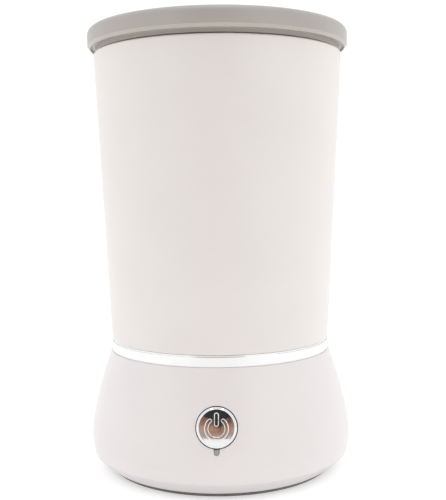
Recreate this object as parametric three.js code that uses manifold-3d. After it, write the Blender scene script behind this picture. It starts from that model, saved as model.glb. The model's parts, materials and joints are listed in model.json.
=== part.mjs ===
// A milk frother: a steel pot in a conical body on a flared base, closed by a lift-off lid.
// A motor in the base turns a magnet carrier, which turns the whisk through the pot's bottom.
// Units are millimetres. +Z is up, the floor is z = 0, and the button looks towards -Y.

import * as THREE from "three";
import { mergeVertices } from "three/addons/utils/BufferGeometryUtils.js";
import Module from "manifold-3d";

const wasm = await Module();
wasm.setup();

// ---------------------------------------------------------------- driving dimensions

// Whole object
const HEIGHT = 179; // floor to the middle of the lid
const BASE_R = 54.1; // the base where it is widest
const BODY_TOP_R = 50.6; // body shell at its upper edge
const WAIST_R = 45.2; // body shell where it meets the trim ring
const SHELL_WALL = 2.2; // both plastic shells

// Clearances
const FIT = 0.3; // between pieces that stay put
const RUN = 0.5; // round pieces that turn
const GAP = 0.4; // between pieces stacked on each other

// Base
const BASE_TOP_Z = 48.5; // upper edge of the base shell
const BASE_WIDE_Z = 12; // height of its widest circle
const CREASE_Z = 6.3; // where the side meets the bottom chamfer
const SHELL_FOOT_Z = 1.8; // lower edge of the base shell
const CHAMFER_RUN = 5.1; // how far the chamfer goes in
const CREASE_IN = 1.1; // the crease's circle, in from the widest one
const SHOULDER_SHARE = 0.353; // pull of the side's curve under the waist, as a share of its flare
const SHOULDER_DROP = 9;
const SHELF_REACH = 10; // width of the shelf
const COVER_FLOOR_Z = 1.5; // underside of the bottom cover
const COVER_T = 2.5;
const COVER_SEAM = 0.5; // the cover's edge in from the shell's lower edge
const COVER_STEP = 0.8; // rebate in the cover for the foot ring
const FOOT_WIDTH = 3.5;
const FOOT_INSET = 0.8; // from the cover's edge to the foot ring
const FOOT_H = 2.0;
const POST_R = 3.5; // screw posts under the shell
const POST_INSET = 15.6; // from the widest circle in to the posts' circle
const POST_TOP_Z = 14.3;
const RIB_T = 2.4; // ribs that tie the screw posts to the walls
const KEY_POST_R = 2.4; // posts that carry the key board
const BOSS_R = 3.2; // posts under the body for the motor frame's screws
const BOSS_INSET = 5.2; // from the neck's inside to the bosses' circle

// Trim ring and body
const TRIM_H = 3.6;
const TRIM_T = 2.0; // radial thickness
const SHADOW_GAP = 0.6; // dark line between the trim ring and the body
const NECK_DROP = 4.9; // how far the body's neck reaches down from its ledge
const LID_HEIGHT = 9.6; // from the top of the body shell to the top of the lid
const EDGE_ROUND = 1.5; // rounding of the body's upper edge

// Pot
const POT_T = 0.8; // steel sheet
const POT_FLOOR_GAP = 7.0; // from the body's ledge up to the pot's underside
const POT_BOTTOM_R = 37;
const POT_TOP_R = 40; // pot wall under its step
const POT_CORNER_R = 5;
const POT_STEP_DEPTH = 12; // from the body's upper edge down to the step
const BEAD_R = 1.1; // rolled rim, radius of its section
const BEAD_INSET = 2.2; // from the body's outer edge to the bead's centre circle
const BEAD_OVERHANG = 2; // from the upper wall to the bead's centre circle
const WALL_FLARE = 0.4; // the upper wall opens this much on its way to the bead
const SEAL_H = 2.4;
const SEAL_DROP = 1.2; // from the body's upper edge to the rim seal

// Lid
const LID_R = 53;
const LID_ROUND = 2.5; // rounding of its upper edge
const LID_T = 2.2; // wall
const LIP_H = 1.5; // chamfered lip below the skirt
const LIP_IN = 1.2;
const LIP_GAP = 1.4; // from the body's upper edge to the lip
const LID_RIB_T = 1.8; // ring under the cap that holds the plug
const LID_RIB_H = 10;
const PLUG_REACH = 8.8; // how far the plug goes into the pot
const PLUG_T = 2.2;
const PLUG_FLOOR_T = 2;
const PLUG_FLANGE_T = 1.8;
const GROOVE_RISE = 3.2; // from the plug's bottom up to the gasket's groove
const GROOVE_DEPTH = 0.9;
const GASKET_W = 1.5;
const GASKET_H = 2.4;

// Button, seen along its own axis
const BUTTON_Z = 27.9; // height of its centre on the base
const HOLE_R = 7.75;
const CAP_BEVEL = 0.9;
const CAP_PROUD = 1.2; // middle of the cap above the wall
const COLLAR_T = 1.4;
const COLLAR_DEPTH = 3.5; // rear of the collar, behind the wall's outer face
const FLANGE_OVER = 1.05; // the cap's flange beyond the hole
const FLANGE_T = 1.2;
const STEM_R = 2.0;
const STEM_L = 1.2;
const PRETRAVEL = 0.65; // from the stem to the switch's plunger
const TRAVEL = 1.2; // what the button can move
const LENS_TOP_W = 2.0;
const LENS_LOW_W = 1.5;
const LENS_H = 2.3;
const KEY_BOARD_DEPTH = 11; // front of the key board, behind the wall's outer face
const BOARD_T = 1.5;
const KEY_POST_GAP = 3.7; // from the collar to the middle of the key board's posts
const SPRING_R = 5.4;
const SPRING_WIRE_R = 0.35;
const SWITCH_HALF = 3; // the tact switch is square
const PLUNGER_R = 1.6;
const PLUNGER_PROUD = 1.1; // the plunger stands out of the switch
const LED_HALF = 1.5;

// Drive
const MOTOR_R = 13.5;
const MOTOR_L = 20;
const SHAFT_R = 1.15;
const MOTOR_SCREW_INSET = 5;
const SHAFT_OPENING = 3; // round the shaft, in the frame and the damper
const END_CAP_H = 2.5;
const MAGNET_INSET = 1.5; // from the carrier's edge to its magnets
const CARRIER_GAP = 1.2; // from the carrier to the heater's height
const FRAME_T = 2;
const DAMPER_T = 1;
const CARRIER_R = 15;
const CARRIER_H = 6.5;
const DRIVE_MAGNET_R = 4;
const DRIVE_MAGNET_H = 3;
const HEATER_T = 2.2;
const HEATER_IN_R = 21;
const HEATER_OUT_R = 31.5;
const SENSOR_R = 2;
const FUSE_R = 2;
const CLIP_T = 0.6;
const CLIP_HALF = 5.2; // half of its width over the wings

// Whisk
const SPINDLE_R = 2;
const SPINDLE_L = 12;
const SPINDLE_FOOT_R = 5;
const HUB_LIFT = 1.9; // from the pot's floor to the hub
const HUB_NECK_T = 2.2;
const HUB_CROWN_T = 1.6; // roof over the end of the spindle
const MAGNET_RIM = 1.2; // from the hub's edge to its magnets
const HUB_R = 12;
const HUB_T = 4.2;
const COIL_R = 14.8; // centre circle of the spring coil
const COIL_SECTION_R = 2.1;
const WHISK_MAGNET_R = 3;
const WHISK_MAGNET_H = 2.8;

// Inlet
const INLET_R = 18.5;
const INLET_TOP_Z = 17;
const INLET_WALL = 2;
const INLET_POST_R = 8;
const INLET_BORE_R = 3.5; // in the post, round the centre contact
const INLET_BORE_RISE = 1.5; // the bore ends this far below the recess
const INLET_FLANGE = 3;
const INLET_FLANGE_T = 2;
const POST_SETBACK = 2; // the post stands back from the floor of the cover
const CONTACT_T = 0.8;

// Control board
const CONTROL_BOARD_GAP = 12.5; // from the motor's side to the board
const CONTROL_BOARD_HALF = 24;
const RAIL_HALF = 2.6; // rails that hold the board's edges
const RAIL_WALL = 2.2;
const RAIL_H = 12;
const WIRE_R = 0.7;

// Screws
const SCREW_R = 1.3;
const SMALL_SCREW_R = 1;
const SCREW_HEAD_R = 2.9;
const SCREW_HEAD_H = 1.3;
const SMALL_HEAD_H = (SCREW_HEAD_H * SMALL_SCREW_R) / SCREW_R;
const HEAD_GAP = 0.05; // under a screw's head

// Facets
const LARGE = 36;
const MEDIUM = 24;
const SMALL = 16;
const HOLE = 12;

// ---------------------------------------------------------------- shape helpers

/** A closed solid of revolution about +Z from an outline of [radius, z] points, anticlockwise. */
function lathe(outline, segments = LARGE) {
  const points = outline.map(([r, z]) => new THREE.Vector2(r, z));
  if (outline[0][0] > 0 || outline.at(-1)[0] > 0) points.push(points[0].clone());
  return new THREE.LatheGeometry(points, segments).rotateX(Math.PI / 2);
}

/** Points of a round stretch of an outline, from one angle to another, in degrees. */
function arc(r, z, radius, from, to, steps = 4) {
  return Array.from({ length: steps + 1 }, (_, i) => {
    const angle = THREE.MathUtils.degToRad(from + ((to - from) * i) / steps);
    return [r + radius * Math.cos(angle), z + radius * Math.sin(angle)];
  });
}

function cylinder(radius, low, high, segments = SMALL) {
  const geometry = new THREE.CylinderGeometry(radius, radius, high - low, segments);
  return geometry.rotateX(Math.PI / 2).translate(0, 0, (low + high) / 2);
}

function tube(inner, outer, low, high, segments = MEDIUM) {
  return lathe([[inner, low], [outer, low], [outer, high], [inner, high]], segments);
}

function box(x0, x1, y0, y1, z0, z1) {
  const geometry = new THREE.BoxGeometry(x1 - x0, y1 - y0, z1 - z0);
  return geometry.translate((x0 + x1) / 2, (y0 + y1) / 2, (z0 + z1) / 2);
}

/** A geometry as a solid that can be joined and cut. */
function solid(geometry) {
  const bare = geometry.clone();
  bare.deleteAttribute("normal");
  bare.deleteAttribute("uv");
  const merged = mergeVertices(bare, 1e-3);
  const vertProperties = merged.attributes.position.array;
  const triVerts = new Uint32Array(merged.index.array);
  return new wasm.Manifold(new wasm.Mesh({ numProp: 3, vertProperties, triVerts }));
}

/** The geometry of a solid. */
function shape(manifold) {
  const { vertProperties, triVerts } = manifold.getMesh();
  const geometry = new THREE.BufferGeometry();
  geometry.setAttribute("position", new THREE.BufferAttribute(vertProperties, 3));
  geometry.setIndex(new THREE.BufferAttribute(triVerts, 1));
  geometry.computeVertexNormals();
  return geometry;
}

function join(geometries) {
  return geometries.map(solid).reduce((whole, piece) => whole.add(piece));
}

function cut(geometry, tools) {
  return shape(tools.map(solid).reduce((rest, tool) => rest.subtract(tool), solid(geometry)));
}

/** A point on a circle about the axis. */
function polar(radius, degrees, z = 0) {
  const angle = THREE.MathUtils.degToRad(degrees);
  return new THREE.Vector3(radius * Math.cos(angle), radius * Math.sin(angle), z);
}

function at(geometry, point) {
  return geometry.translate(point.x, point.y, point.z);
}

/** Clearance holes for screws that stand on a circle. */
function screwHoles(radius, low, high, circleR, angles) {
  return angles.map((angle) => at(cylinder(radius + FIT, low, high, HOLE), polar(circleR, angle)));
}

/** A round wire along a smooth curve through points. */
function wire(points, radius, steps, sides = 5) {
  const section = new THREE.Shape();
  for (let i = 0; i < sides; i += 1) {
    const angle = (2 * Math.PI * i) / sides;
    const corner = [radius * Math.cos(angle), radius * Math.sin(angle)];
    if (i === 0) section.moveTo(...corner);
    else section.lineTo(...corner);
  }
  section.closePath();
  const extrudePath = new THREE.CatmullRomCurve3(points);
  return new THREE.ExtrudeGeometry(section, { steps, extrudePath, bevelEnabled: false });
}

function finish(color, roughness, metalness = 0) {
  return new THREE.MeshStandardMaterial({ color, roughness, metalness });
}

const WHITE = finish(0xe9e5e2, 0.3);
const GREY = finish(0xa8a39e, 0.35);
const DARK = finish(0x2e2d2c, 0.5);
const STEEL = finish(0xc4c4c2, 0.22, 1);
const CHROME = finish(0xe6e6e8, 0.06, 1);
const RUBBER = finish(0x35332f, 0.8);
const BRASS = finish(0xc8a24e, 0.3, 1);
const BOARD = finish(0x1f5a35, 0.5);
const CLEAR = finish(0xb9bcc0, 0.2);
const CREAM = finish(0xd8d2c0, 0.5);
const MAGNET = finish(0x70706e, 0.35, 0.8);
const RED = finish(0xa03028, 0.5);
const BLUE = finish(0x2c4d94, 0.5);

const frother = new THREE.Group();

function add(parent, name, geometry, material) {
  const mesh = new THREE.Mesh(geometry, material);
  mesh.name = name;
  parent.add(mesh);
  return mesh;
}

// ---------------------------------------------------------------- worked-out places

const bodyTopZ = HEIGHT - LID_HEIGHT;
const ledgeZ = BASE_TOP_Z + FIT + TRIM_H + SHADOW_GAP; // underside of the body above the trim ring
const neckR = WAIST_R - TRIM_T - FIT; // outside of the body's neck
const neckInR = neckR - SHELL_WALL;
const neckBottomZ = ledgeZ - NECK_DROP;
const frameTopZ = neckBottomZ - FIT;
const shelfTopZ = frameTopZ - FRAME_T - FIT;
const shelfBottomZ = shelfTopZ - SHELL_WALL;
const shelfInR = neckR - SHELF_REACH;
const potBottomZ = ledgeZ + POT_FLOOR_GAP;
const potFloorZ = potBottomZ + POT_T;
const heaterTopZ = potBottomZ - FIT;
const heaterBottomZ = heaterTopZ - HEATER_T;
const beadCircleR = BODY_TOP_R - BEAD_INSET;
const beadZ = bodyTopZ + FIT + BEAD_R;
const potStepZ = bodyTopZ - POT_STEP_DEPTH;
const potUpperR = beadCircleR - BEAD_OVERHANG; // outside of the pot's wall above its step
const edgeR = BASE_R - CREASE_IN - CHAMFER_RUN; // lower edge of the base shell
const coverR = edgeR - COVER_SEAM - FIT;
const coverTopZ = COVER_FLOOR_Z + COVER_T;
const postCircleR = BASE_R - POST_INSET;
const frameScrewR = neckInR - BOSS_INSET;
const bossHoleTopZ = ledgeZ + SHELL_WALL - 1.2; // end of the frame screws' holes in the body
const screwAngles = [90, 210, 330];
const frameScrewAngles = [0, 120, 240];

/** Outside of the base shell, from its lower edge to its upper edge. */
function baseOutline() {
  const top = new THREE.Vector2(WAIST_R + 0.4, BASE_TOP_Z);
  const shoulder = new THREE.Vector2(top.x + (BASE_R - top.x) * SHOULDER_SHARE, BASE_TOP_Z - SHOULDER_DROP);
  const flare = new THREE.Vector2(BASE_R, BASE_WIDE_Z * 2);
  const wide = new THREE.Vector2(BASE_R, BASE_WIDE_Z);
  const side = new THREE.CubicBezierCurve(wide, flare, shoulder, top).getPoints(6);
  const corner = [
    [edgeR, SHELL_FOOT_Z],
    [BASE_R - CREASE_IN, CREASE_Z],
    [BASE_R - 0.3, CREASE_Z + 1.6],
  ];
  return [...corner, ...side.map((p) => [p.x, p.y])];
}

/** An outline moved in towards the axis, at right angles to its own run. */
function inset(outline, distance) {
  return outline.map(([r, z], i) => {
    const before = outline[Math.max(i - 1, 0)];
    const after = outline[Math.min(i + 1, outline.length - 1)];
    const run = new THREE.Vector2(after[0] - before[0], after[1] - before[1]).normalize();
    return [r - run.y * distance, z + run.x * distance];
  });
}

/** Radius of the base's outside at a height, and how much it leans in there, in radians. */
function baseWallAt(z) {
  const outline = baseOutline();
  const i = outline.findIndex((p) => p[1] > z);
  const [r0, z0] = outline[i - 1];
  const [r1, z1] = outline[i];
  const slope = (r1 - r0) / (z1 - z0);
  return { radius: r0 + slope * (z - z0), lean: Math.atan(-slope) };
}

// The button's own frame: its z looks out of the wall, its y points up along the wall.
const buttonPlace = new THREE.Group();
const buttonWall = baseWallAt(BUTTON_Z);
buttonPlace.position.set(0, -buttonWall.radius, BUTTON_Z);
buttonPlace.rotation.x = Math.PI / 2 - buttonWall.lean;
buttonPlace.updateMatrix();
frother.add(buttonPlace);

const flangeFrontZ = -COLLAR_DEPTH - FIT;
const flangeRearZ = flangeFrontZ - FLANGE_T;
const stemRearZ = flangeRearZ - STEM_L;
const plungerFrontZ = stemRearZ - PRETRAVEL;
const boardFrontZ = -KEY_BOARD_DEPTH;
const flangeR = HOLE_R + FLANGE_OVER;
const keyPostX = HOLE_R + COLLAR_T + KEY_POST_GAP;
const lensTopY = -HOLE_R - 0.1;
const lensLowY = -HOLE_R - LENS_H;

/** The button's notch, or the lens that fills it, in the button's frame. */
function lensShape(grow, rear, front, topY = lensTopY) {
  const outline = new THREE.Shape([
    new THREE.Vector2(-LENS_TOP_W / 2 - grow, topY),
    new THREE.Vector2(-LENS_LOW_W / 2 - grow, lensLowY - grow),
    new THREE.Vector2(LENS_LOW_W / 2 + grow, lensLowY - grow),
    new THREE.Vector2(LENS_TOP_W / 2 + grow, topY),
  ]);
  const geometry = new THREE.ExtrudeGeometry(outline, { depth: front - rear, bevelEnabled: false });
  return geometry.translate(0, 0, rear);
}

// ---------------------------------------------------------------- screws

/** A pan-head screw standing on z = 0, its shank up along +Z, a slot cut in its head. */
function screw(length, radius = SCREW_R) {
  const grow = radius / SCREW_R;
  const head = SCREW_HEAD_R * grow;
  const headH = SCREW_HEAD_H * grow;
  const outline = [[0, 0], [head * 0.8, 0], [head, headH * 0.4], [head, headH]];
  outline.push([radius, headH], [radius, length - 1], [0, length]);
  const slot = box(-head * 2, head * 2, -0.35 * grow, 0.35 * grow, -1, headH * 0.5);
  return cut(lathe(outline, 8), [slot]);
}

// ---------------------------------------------------------------- lid

function lidCap() {
  const lipBottomZ = bodyTopZ + LIP_GAP;
  const skirtZ = lipBottomZ + LIP_H;
  const inR = LID_R - LID_T;
  const underZ = HEIGHT - LID_T;
  const ribOutR = plugR() - PLUG_T - FIT;
  const outline = [
    [0, HEIGHT],
    [0, underZ],
    [ribOutR - LID_RIB_T, underZ],
    [ribOutR - LID_RIB_T, underZ - LID_RIB_H],
    [ribOutR, underZ - LID_RIB_H],
    [ribOutR, underZ],
    [inR, underZ],
    [inR, lipBottomZ],
    [LID_R - LIP_IN, lipBottomZ],
    [LID_R - 0.3, skirtZ - 0.2],
    [LID_R, skirtZ],
    ...arc(LID_R - LID_ROUND, HEIGHT - LID_ROUND, LID_ROUND, 0, 90),
  ];
  return lathe(outline);
}

/** Outside radius of the plug's wall: it clears the pot's upper wall and carries the gasket. */
function plugR() {
  return potUpperR - POT_T - GASKET_W;
}

function plugFlangeZ() {
  return beadZ + BEAD_R + GAP;
}

function plugBottomZ() {
  return plugFlangeZ() - PLUG_REACH;
}

function lidPlug() {
  const r = plugR();
  const flangeZ = plugFlangeZ();
  const bottomZ = plugBottomZ();
  const grooveZ = bottomZ + GROOVE_RISE;
  const grooveR = r - GROOVE_DEPTH;
  const grooveTopZ = grooveZ + GASKET_H + 2 * FIT;
  const outline = [
    [0, bottomZ + PLUG_FLOOR_T],
    [0, bottomZ],
    [r - 1.5, bottomZ],
    [r, bottomZ + 1.5],
    [r, grooveZ],
    [grooveR, grooveZ],
    [grooveR, grooveTopZ],
    [r, grooveTopZ],
    [r, flangeZ],
    [beadCircleR + BEAD_R, flangeZ],
    [beadCircleR + BEAD_R, flangeZ + PLUG_FLANGE_T],
    [r - PLUG_T, flangeZ + PLUG_FLANGE_T],
    [r - PLUG_T, bottomZ + PLUG_FLOOR_T],
  ];
  return lathe(outline);
}

function lidGasket() {
  const inR = plugR() - GROOVE_DEPTH + FIT;
  const outR = plugR() + GASKET_W - FIT;
  const low = plugBottomZ() + GROOVE_RISE + FIT;
  const high = low + GASKET_H;
  const middle = (low + high) / 2;
  const shoulderR = outR - 0.8;
  return lathe([[inR, low], [shoulderR, low], [outR, middle], [shoulderR, high], [inR, high]]);
}

add(frother, "lid_cap", lidCap(), GREY);
add(frother, "lid_plug", lidPlug(), GREY);
add(frother, "lid_gasket", lidGasket(), CREAM);

// ---------------------------------------------------------------- pot

/** The pot's wall, from the corner round its bottom up to the rolled rim. */
function innerPot() {
  const t = POT_T;
  const c = POT_CORNER_R;
  const outline = [
    ...arc(POT_BOTTOM_R - c, potBottomZ + c, c, -90, 0, 3),
    [POT_TOP_R, potStepZ],
    [potUpperR - 1, potStepZ + 2],
    [potUpperR, potStepZ + 3.4],
    [potUpperR + WALL_FLARE, bodyTopZ + FIT],
    ...arc(beadCircleR, beadZ, BEAD_R, -90, 150, 4),
    [potUpperR + WALL_FLARE - t, beadZ - 0.5],
    [potUpperR - t, potStepZ + 3.4],
    [potUpperR - 1 - t * 0.6, potStepZ + 2 + t * 0.7],
    [POT_TOP_R - t, potStepZ + t],
    ...arc(POT_BOTTOM_R - c, potBottomZ + c, c - t, 0, -90, 3),
  ];
  return lathe(outline);
}

/** The flat of the pot's bottom, inside the rounded corner. */
function potBottom() {
  return cylinder(POT_BOTTOM_R - POT_CORNER_R - FIT, potBottomZ, potFloorZ, LARGE);
}

/** Radius of the body shell's inside at a height. */
function bodyInnerR(z) {
  const share = (z - ledgeZ) / (bodyTopZ - ledgeZ);
  return WAIST_R + (BODY_TOP_R - WAIST_R) * share - SHELL_WALL;
}

function rimSeal() {
  const high = bodyTopZ - SEAL_DROP;
  const low = high - SEAL_H;
  const inR = potUpperR + WALL_FLARE + FIT;
  return tube(inR, bodyInnerR(low) - FIT, low, high, LARGE);
}

function whiskSpindle() {
  const foot = potFloorZ + 0.2;
  const top = foot + SPINDLE_L;
  const r = SPINDLE_R;
  const outline = [
    [0, foot],
    [SPINDLE_FOOT_R, foot],
    [SPINDLE_FOOT_R, foot + 1],
    [r, foot + 1.3],
    [r, top - 1],
    [r - 1, top],
    [0, top],
  ];
  return lathe(outline, SMALL);
}

add(frother, "inner_pot", innerPot(), STEEL);
add(frother, "pot_bottom", potBottom(), STEEL);
add(frother, "rim_seal", rimSeal(), RUBBER);
add(frother, "whisk_spindle", whiskSpindle(), STEEL);

// ---------------------------------------------------------------- whisk

const hubBottomZ = potFloorZ + HUB_LIFT;
const hubTopZ = potFloorZ + SPINDLE_L + 2.4;
const whiskMagnetCircleR = HUB_R - WHISK_MAGNET_R - MAGNET_RIM;

function whiskHub() {
  const boreR = SPINDLE_R + FIT;
  const neck = boreR + HUB_NECK_T;
  const outline = [
    [0, hubTopZ],
    [0, hubTopZ - HUB_CROWN_T],
    [boreR, hubTopZ - HUB_CROWN_T],
    [boreR, hubBottomZ],
    [HUB_R, hubBottomZ],
    [HUB_R, hubBottomZ + HUB_T],
    [neck + 0.8, hubBottomZ + HUB_T],
    [neck, hubBottomZ + HUB_T + 1.2],
    [neck, hubTopZ - 0.8],
    [neck - 0.8, hubTopZ],
  ];
  const pockets = [0, 180].map((angle) => {
    const pocket = cylinder(WHISK_MAGNET_R + FIT, hubBottomZ - 1, hubBottomZ + WHISK_MAGNET_H + FIT);
    return at(pocket, polar(whiskMagnetCircleR, angle));
  });
  return cut(lathe(outline, MEDIUM), pockets);
}

add(frother, "whisk_hub", whiskHub(), DARK);
const coil = new THREE.TorusGeometry(COIL_R, COIL_SECTION_R, 6, 24);
add(frother, "whisk_coil", coil, STEEL).position.z = hubBottomZ + HUB_T / 2;
["a", "b"].forEach((letter, i) => {
  const magnet = cylinder(WHISK_MAGNET_R, 0, WHISK_MAGNET_H);
  const place = polar(whiskMagnetCircleR, 180 * i, hubBottomZ);
  add(frother, `whisk_magnet_${letter}`, magnet, MAGNET).position.copy(place);
});

// ---------------------------------------------------------------- body shell and trim ring

function bodyShell() {
  const e = EDGE_ROUND;
  const outline = [
    [neckInR, neckBottomZ],
    [neckR, neckBottomZ],
    [neckR, ledgeZ],
    [WAIST_R - 0.6, ledgeZ],
    [WAIST_R, ledgeZ + 0.6],
    ...arc(BODY_TOP_R - e, bodyTopZ - e, e, 3, 90, 3),
    [bodyInnerR(bodyTopZ) + 0.4, bodyTopZ],
    [bodyInnerR(bodyTopZ - 1), bodyTopZ - 1],
    [bodyInnerR(ledgeZ + SHELL_WALL), ledgeZ + SHELL_WALL],
    [neckInR, ledgeZ + SHELL_WALL],
  ];
  const bosses = frameScrewAngles.flatMap((angle) => {
    const post = at(cylinder(BOSS_R, neckBottomZ, ledgeZ + SHELL_WALL), polar(frameScrewR, angle));
    const rib = box(
      frameScrewR, neckInR + SHELL_WALL / 2,
      -RIB_T / 2, RIB_T / 2,
      neckBottomZ, ledgeZ + SHELL_WALL,
    );
    return [post, rib.rotateZ(THREE.MathUtils.degToRad(angle))];
  });
  const holes = screwHoles(SCREW_R, neckBottomZ - 1, bossHoleTopZ, frameScrewR, frameScrewAngles);
  return cut(shape(join([lathe(outline), ...bosses])), holes);
}

function trimRing() {
  const low = BASE_TOP_Z + FIT;
  const high = low + TRIM_H;
  const inR = neckR + FIT;
  const outR = WAIST_R + 0.1;
  const outline = [
    [inR, low],
    [outR - 0.4, low],
    [outR, low + 0.4],
    [outR, high - 0.4],
    [outR - 0.4, high],
    [inR, high],
  ];
  return lathe(outline);
}

add(frother, "body_shell", bodyShell(), WHITE);
add(frother, "trim_ring", trimRing(), CHROME);

// ---------------------------------------------------------------- base shell

/** The base's outside as a full solid, shrunk by a distance: posts and ribs are trimmed to it. */
function baseVolume(shrink) {
  const outline = inset(baseOutline(), shrink);
  const [topR, topZ] = outline.at(-1);
  const lowest = outline[0][1];
  return solid(lathe([[0, lowest], ...outline, [topR - 1, topZ], [0, topZ]]));
}

function baseShell() {
  const outer = baseOutline();
  const inner = inset(outer, SHELL_WALL).filter((p) => p[1] > coverTopZ + 1 && p[1] < shelfBottomZ - 0.5);
  const shelfWallR = inner.at(-1)[0] - 1.4;
  const topInR = neckR + FIT;
  const outline = [
    ...outer,
    [topInR, BASE_TOP_Z],
    [topInR, shelfTopZ],
    [shelfInR, shelfTopZ],
    [shelfInR, shelfBottomZ],
    [shelfWallR, shelfBottomZ],
    ...inner.reverse(),
    [coverR + FIT, coverTopZ + 1],
    [coverR + FIT, SHELL_FOOT_Z],
  ];
  const trim = baseVolume(SHELL_WALL / 2);
  const posts = screwAngles.flatMap((angle) => {
    const post = at(cylinder(POST_R, coverTopZ + FIT, POST_TOP_Z), polar(postCircleR, angle));
    const rib = box(postCircleR, BASE_R, -RIB_T / 2, RIB_T / 2, coverTopZ + FIT + 1, POST_TOP_Z);
    return [post, rib.rotateZ(THREE.MathUtils.degToRad(angle))];
  });
  const keyPosts = [-1, 1].map((side) => {
    const post = cylinder(KEY_POST_R, boardFrontZ + FIT, 2).translate(side * keyPostX, 0, 0);
    return post.applyMatrix4(buttonPlace.matrix);
  });
  const collar = cylinder(HOLE_R + COLLAR_T, -COLLAR_DEPTH, 2, MEDIUM).applyMatrix4(buttonPlace.matrix);
  const fittings = join([...posts, ...keyPosts, collar]).intersect(trim);
  const holes = [
    ...screwHoles(SCREW_R, 0, POST_TOP_Z - 1, postCircleR, screwAngles),
    ...screwHoles(SCREW_R, shelfBottomZ - 1, shelfTopZ + 1, frameScrewR, frameScrewAngles),
    ...[-1, 1].map((side) => {
      const pilot = cylinder(SMALL_SCREW_R + FIT, boardFrontZ - 1, boardFrontZ + 5.5, HOLE);
      return pilot.translate(side * keyPostX, 0, 0).applyMatrix4(buttonPlace.matrix);
    }),
    cylinder(HOLE_R, -8, 8, MEDIUM).applyMatrix4(buttonPlace.matrix),
    lensShape(FIT, -8, 8, -HOLE_R + 1).applyMatrix4(buttonPlace.matrix),
  ];
  return cut(shape(solid(lathe(outline)).add(fittings)), holes);
}

add(frother, "base_shell", baseShell(), WHITE);

// ---------------------------------------------------------------- bottom cover and foot

const footInR = coverR - FOOT_INSET - FOOT_WIDTH;
const controlBoardY = MOTOR_R + CONTROL_BOARD_GAP;

function bottomCover() {
  const outline = [
    [INLET_R + FIT, COVER_FLOOR_Z],
    [footInR - FIT, COVER_FLOOR_Z],
    [footInR - FIT, COVER_FLOOR_Z + COVER_STEP],
    [coverR, COVER_FLOOR_Z + COVER_STEP],
    [coverR, coverTopZ],
    [INLET_R + FIT, coverTopZ],
  ];
  const rails = [-1, 1].map((side) => {
    const x = side * CONTROL_BOARD_HALF;
    return box(
      x - RAIL_HALF, x + RAIL_HALF,
      controlBoardY - RAIL_WALL, controlBoardY + BOARD_T + RAIL_WALL,
      COVER_FLOOR_Z + 1, coverTopZ + RAIL_H,
    );
  });
  const slot = box(
    -CONTROL_BOARD_HALF - FIT, CONTROL_BOARD_HALF + FIT,
    controlBoardY - FIT, controlBoardY + BOARD_T + FIT,
    coverTopZ + GAP, coverTopZ + RAIL_H + 1,
  );
  const holes = screwAngles.flatMap((angle) => [
    at(cylinder(SCREW_R + GAP, 0, coverTopZ + 1, HOLE), polar(postCircleR, angle)),
    at(cylinder(SCREW_HEAD_R + GAP, 0, COVER_FLOOR_Z + SCREW_HEAD_H + 0.1), polar(postCircleR, angle)),
  ]);
  return cut(shape(join([lathe(outline), ...rails])), [slot, ...holes]);
}

function footRing() {
  const outR = footInR + FOOT_WIDTH;
  const outline = [
    [footInR + 0.4, 0],
    [outR - 0.4, 0],
    [outR, 0.4],
    [outR, FOOT_H],
    [footInR, FOOT_H],
    [footInR, 0.4],
  ];
  return lathe(outline);
}

add(frother, "bottom_cover", bottomCover(), DARK);
add(frother, "foot_ring", footRing(), RUBBER);
const bottomScrewZ = COVER_FLOOR_Z + HEAD_GAP;
screwAngles.forEach((angle, i) => {
  const name = `bottom_screw_${i + 1}`;
  const mesh = add(frother, name, screw(POST_TOP_Z - 1 - FIT - bottomScrewZ), STEEL);
  mesh.position.copy(polar(postCircleR, angle, bottomScrewZ));
});

// ---------------------------------------------------------------- button and its switch

function powerButton() {
  const capR = HOLE_R - FIT;
  const edgeZ = CAP_PROUD - 1.4;
  const outline = [
    [0, CAP_PROUD],
    [0, stemRearZ],
    [STEM_R, stemRearZ],
    [STEM_R, flangeRearZ],
    [flangeR, flangeRearZ],
    [flangeR, flangeFrontZ],
    [capR, flangeFrontZ],
    [capR, edgeZ],
    [capR - CAP_BEVEL, edgeZ + 0.8],
    [capR / 2, CAP_PROUD - 0.15],
  ];
  const notch = lensShape(0.6, flangeRearZ - 1, flangeFrontZ + FIT / 2, -capR - 0.15);
  return cut(lathe(outline, 32), [notch]);
}

function buttonSpring() {
  const radius = SPRING_R;
  const wireR = SPRING_WIRE_R;
  const turns = 3;
  const rear = boardFrontZ + FIT + wireR;
  const front = flangeRearZ - FIT - wireR;
  const perTurn = 10;
  const points = Array.from({ length: turns * perTurn + 1 }, (_, i) => {
    const share = i / (turns * perTurn);
    return polar(radius, 360 * turns * share, rear + (front - rear) * share);
  });
  return wire(points, wireR, turns * perTurn, 4);
}

function keyBoard() {
  const halfX = keyPostX + 3.4;
  const lowY = lensLowY - 2.4;
  const highY = HOLE_R;
  const board = box(-halfX, halfX, lowY, highY, boardFrontZ - BOARD_T, boardFrontZ);
  const holes = [-1, 1].map((side) =>
    cylinder(SMALL_SCREW_R + FIT, boardFrontZ - 3, boardFrontZ + 1, HOLE).translate(side * keyPostX, 0, 0));
  return cut(board, holes);
}

const switchFrontZ = plungerFrontZ - PLUNGER_PROUD;

function tactSwitchBody() {
  const half = SWITCH_HALF;
  const body = box(-half, half, -half, half, boardFrontZ + 0.1, switchFrontZ);
  return cut(body, [cylinder(PLUNGER_R + FIT, switchFrontZ - 1.6, switchFrontZ + 1)]);
}

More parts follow.
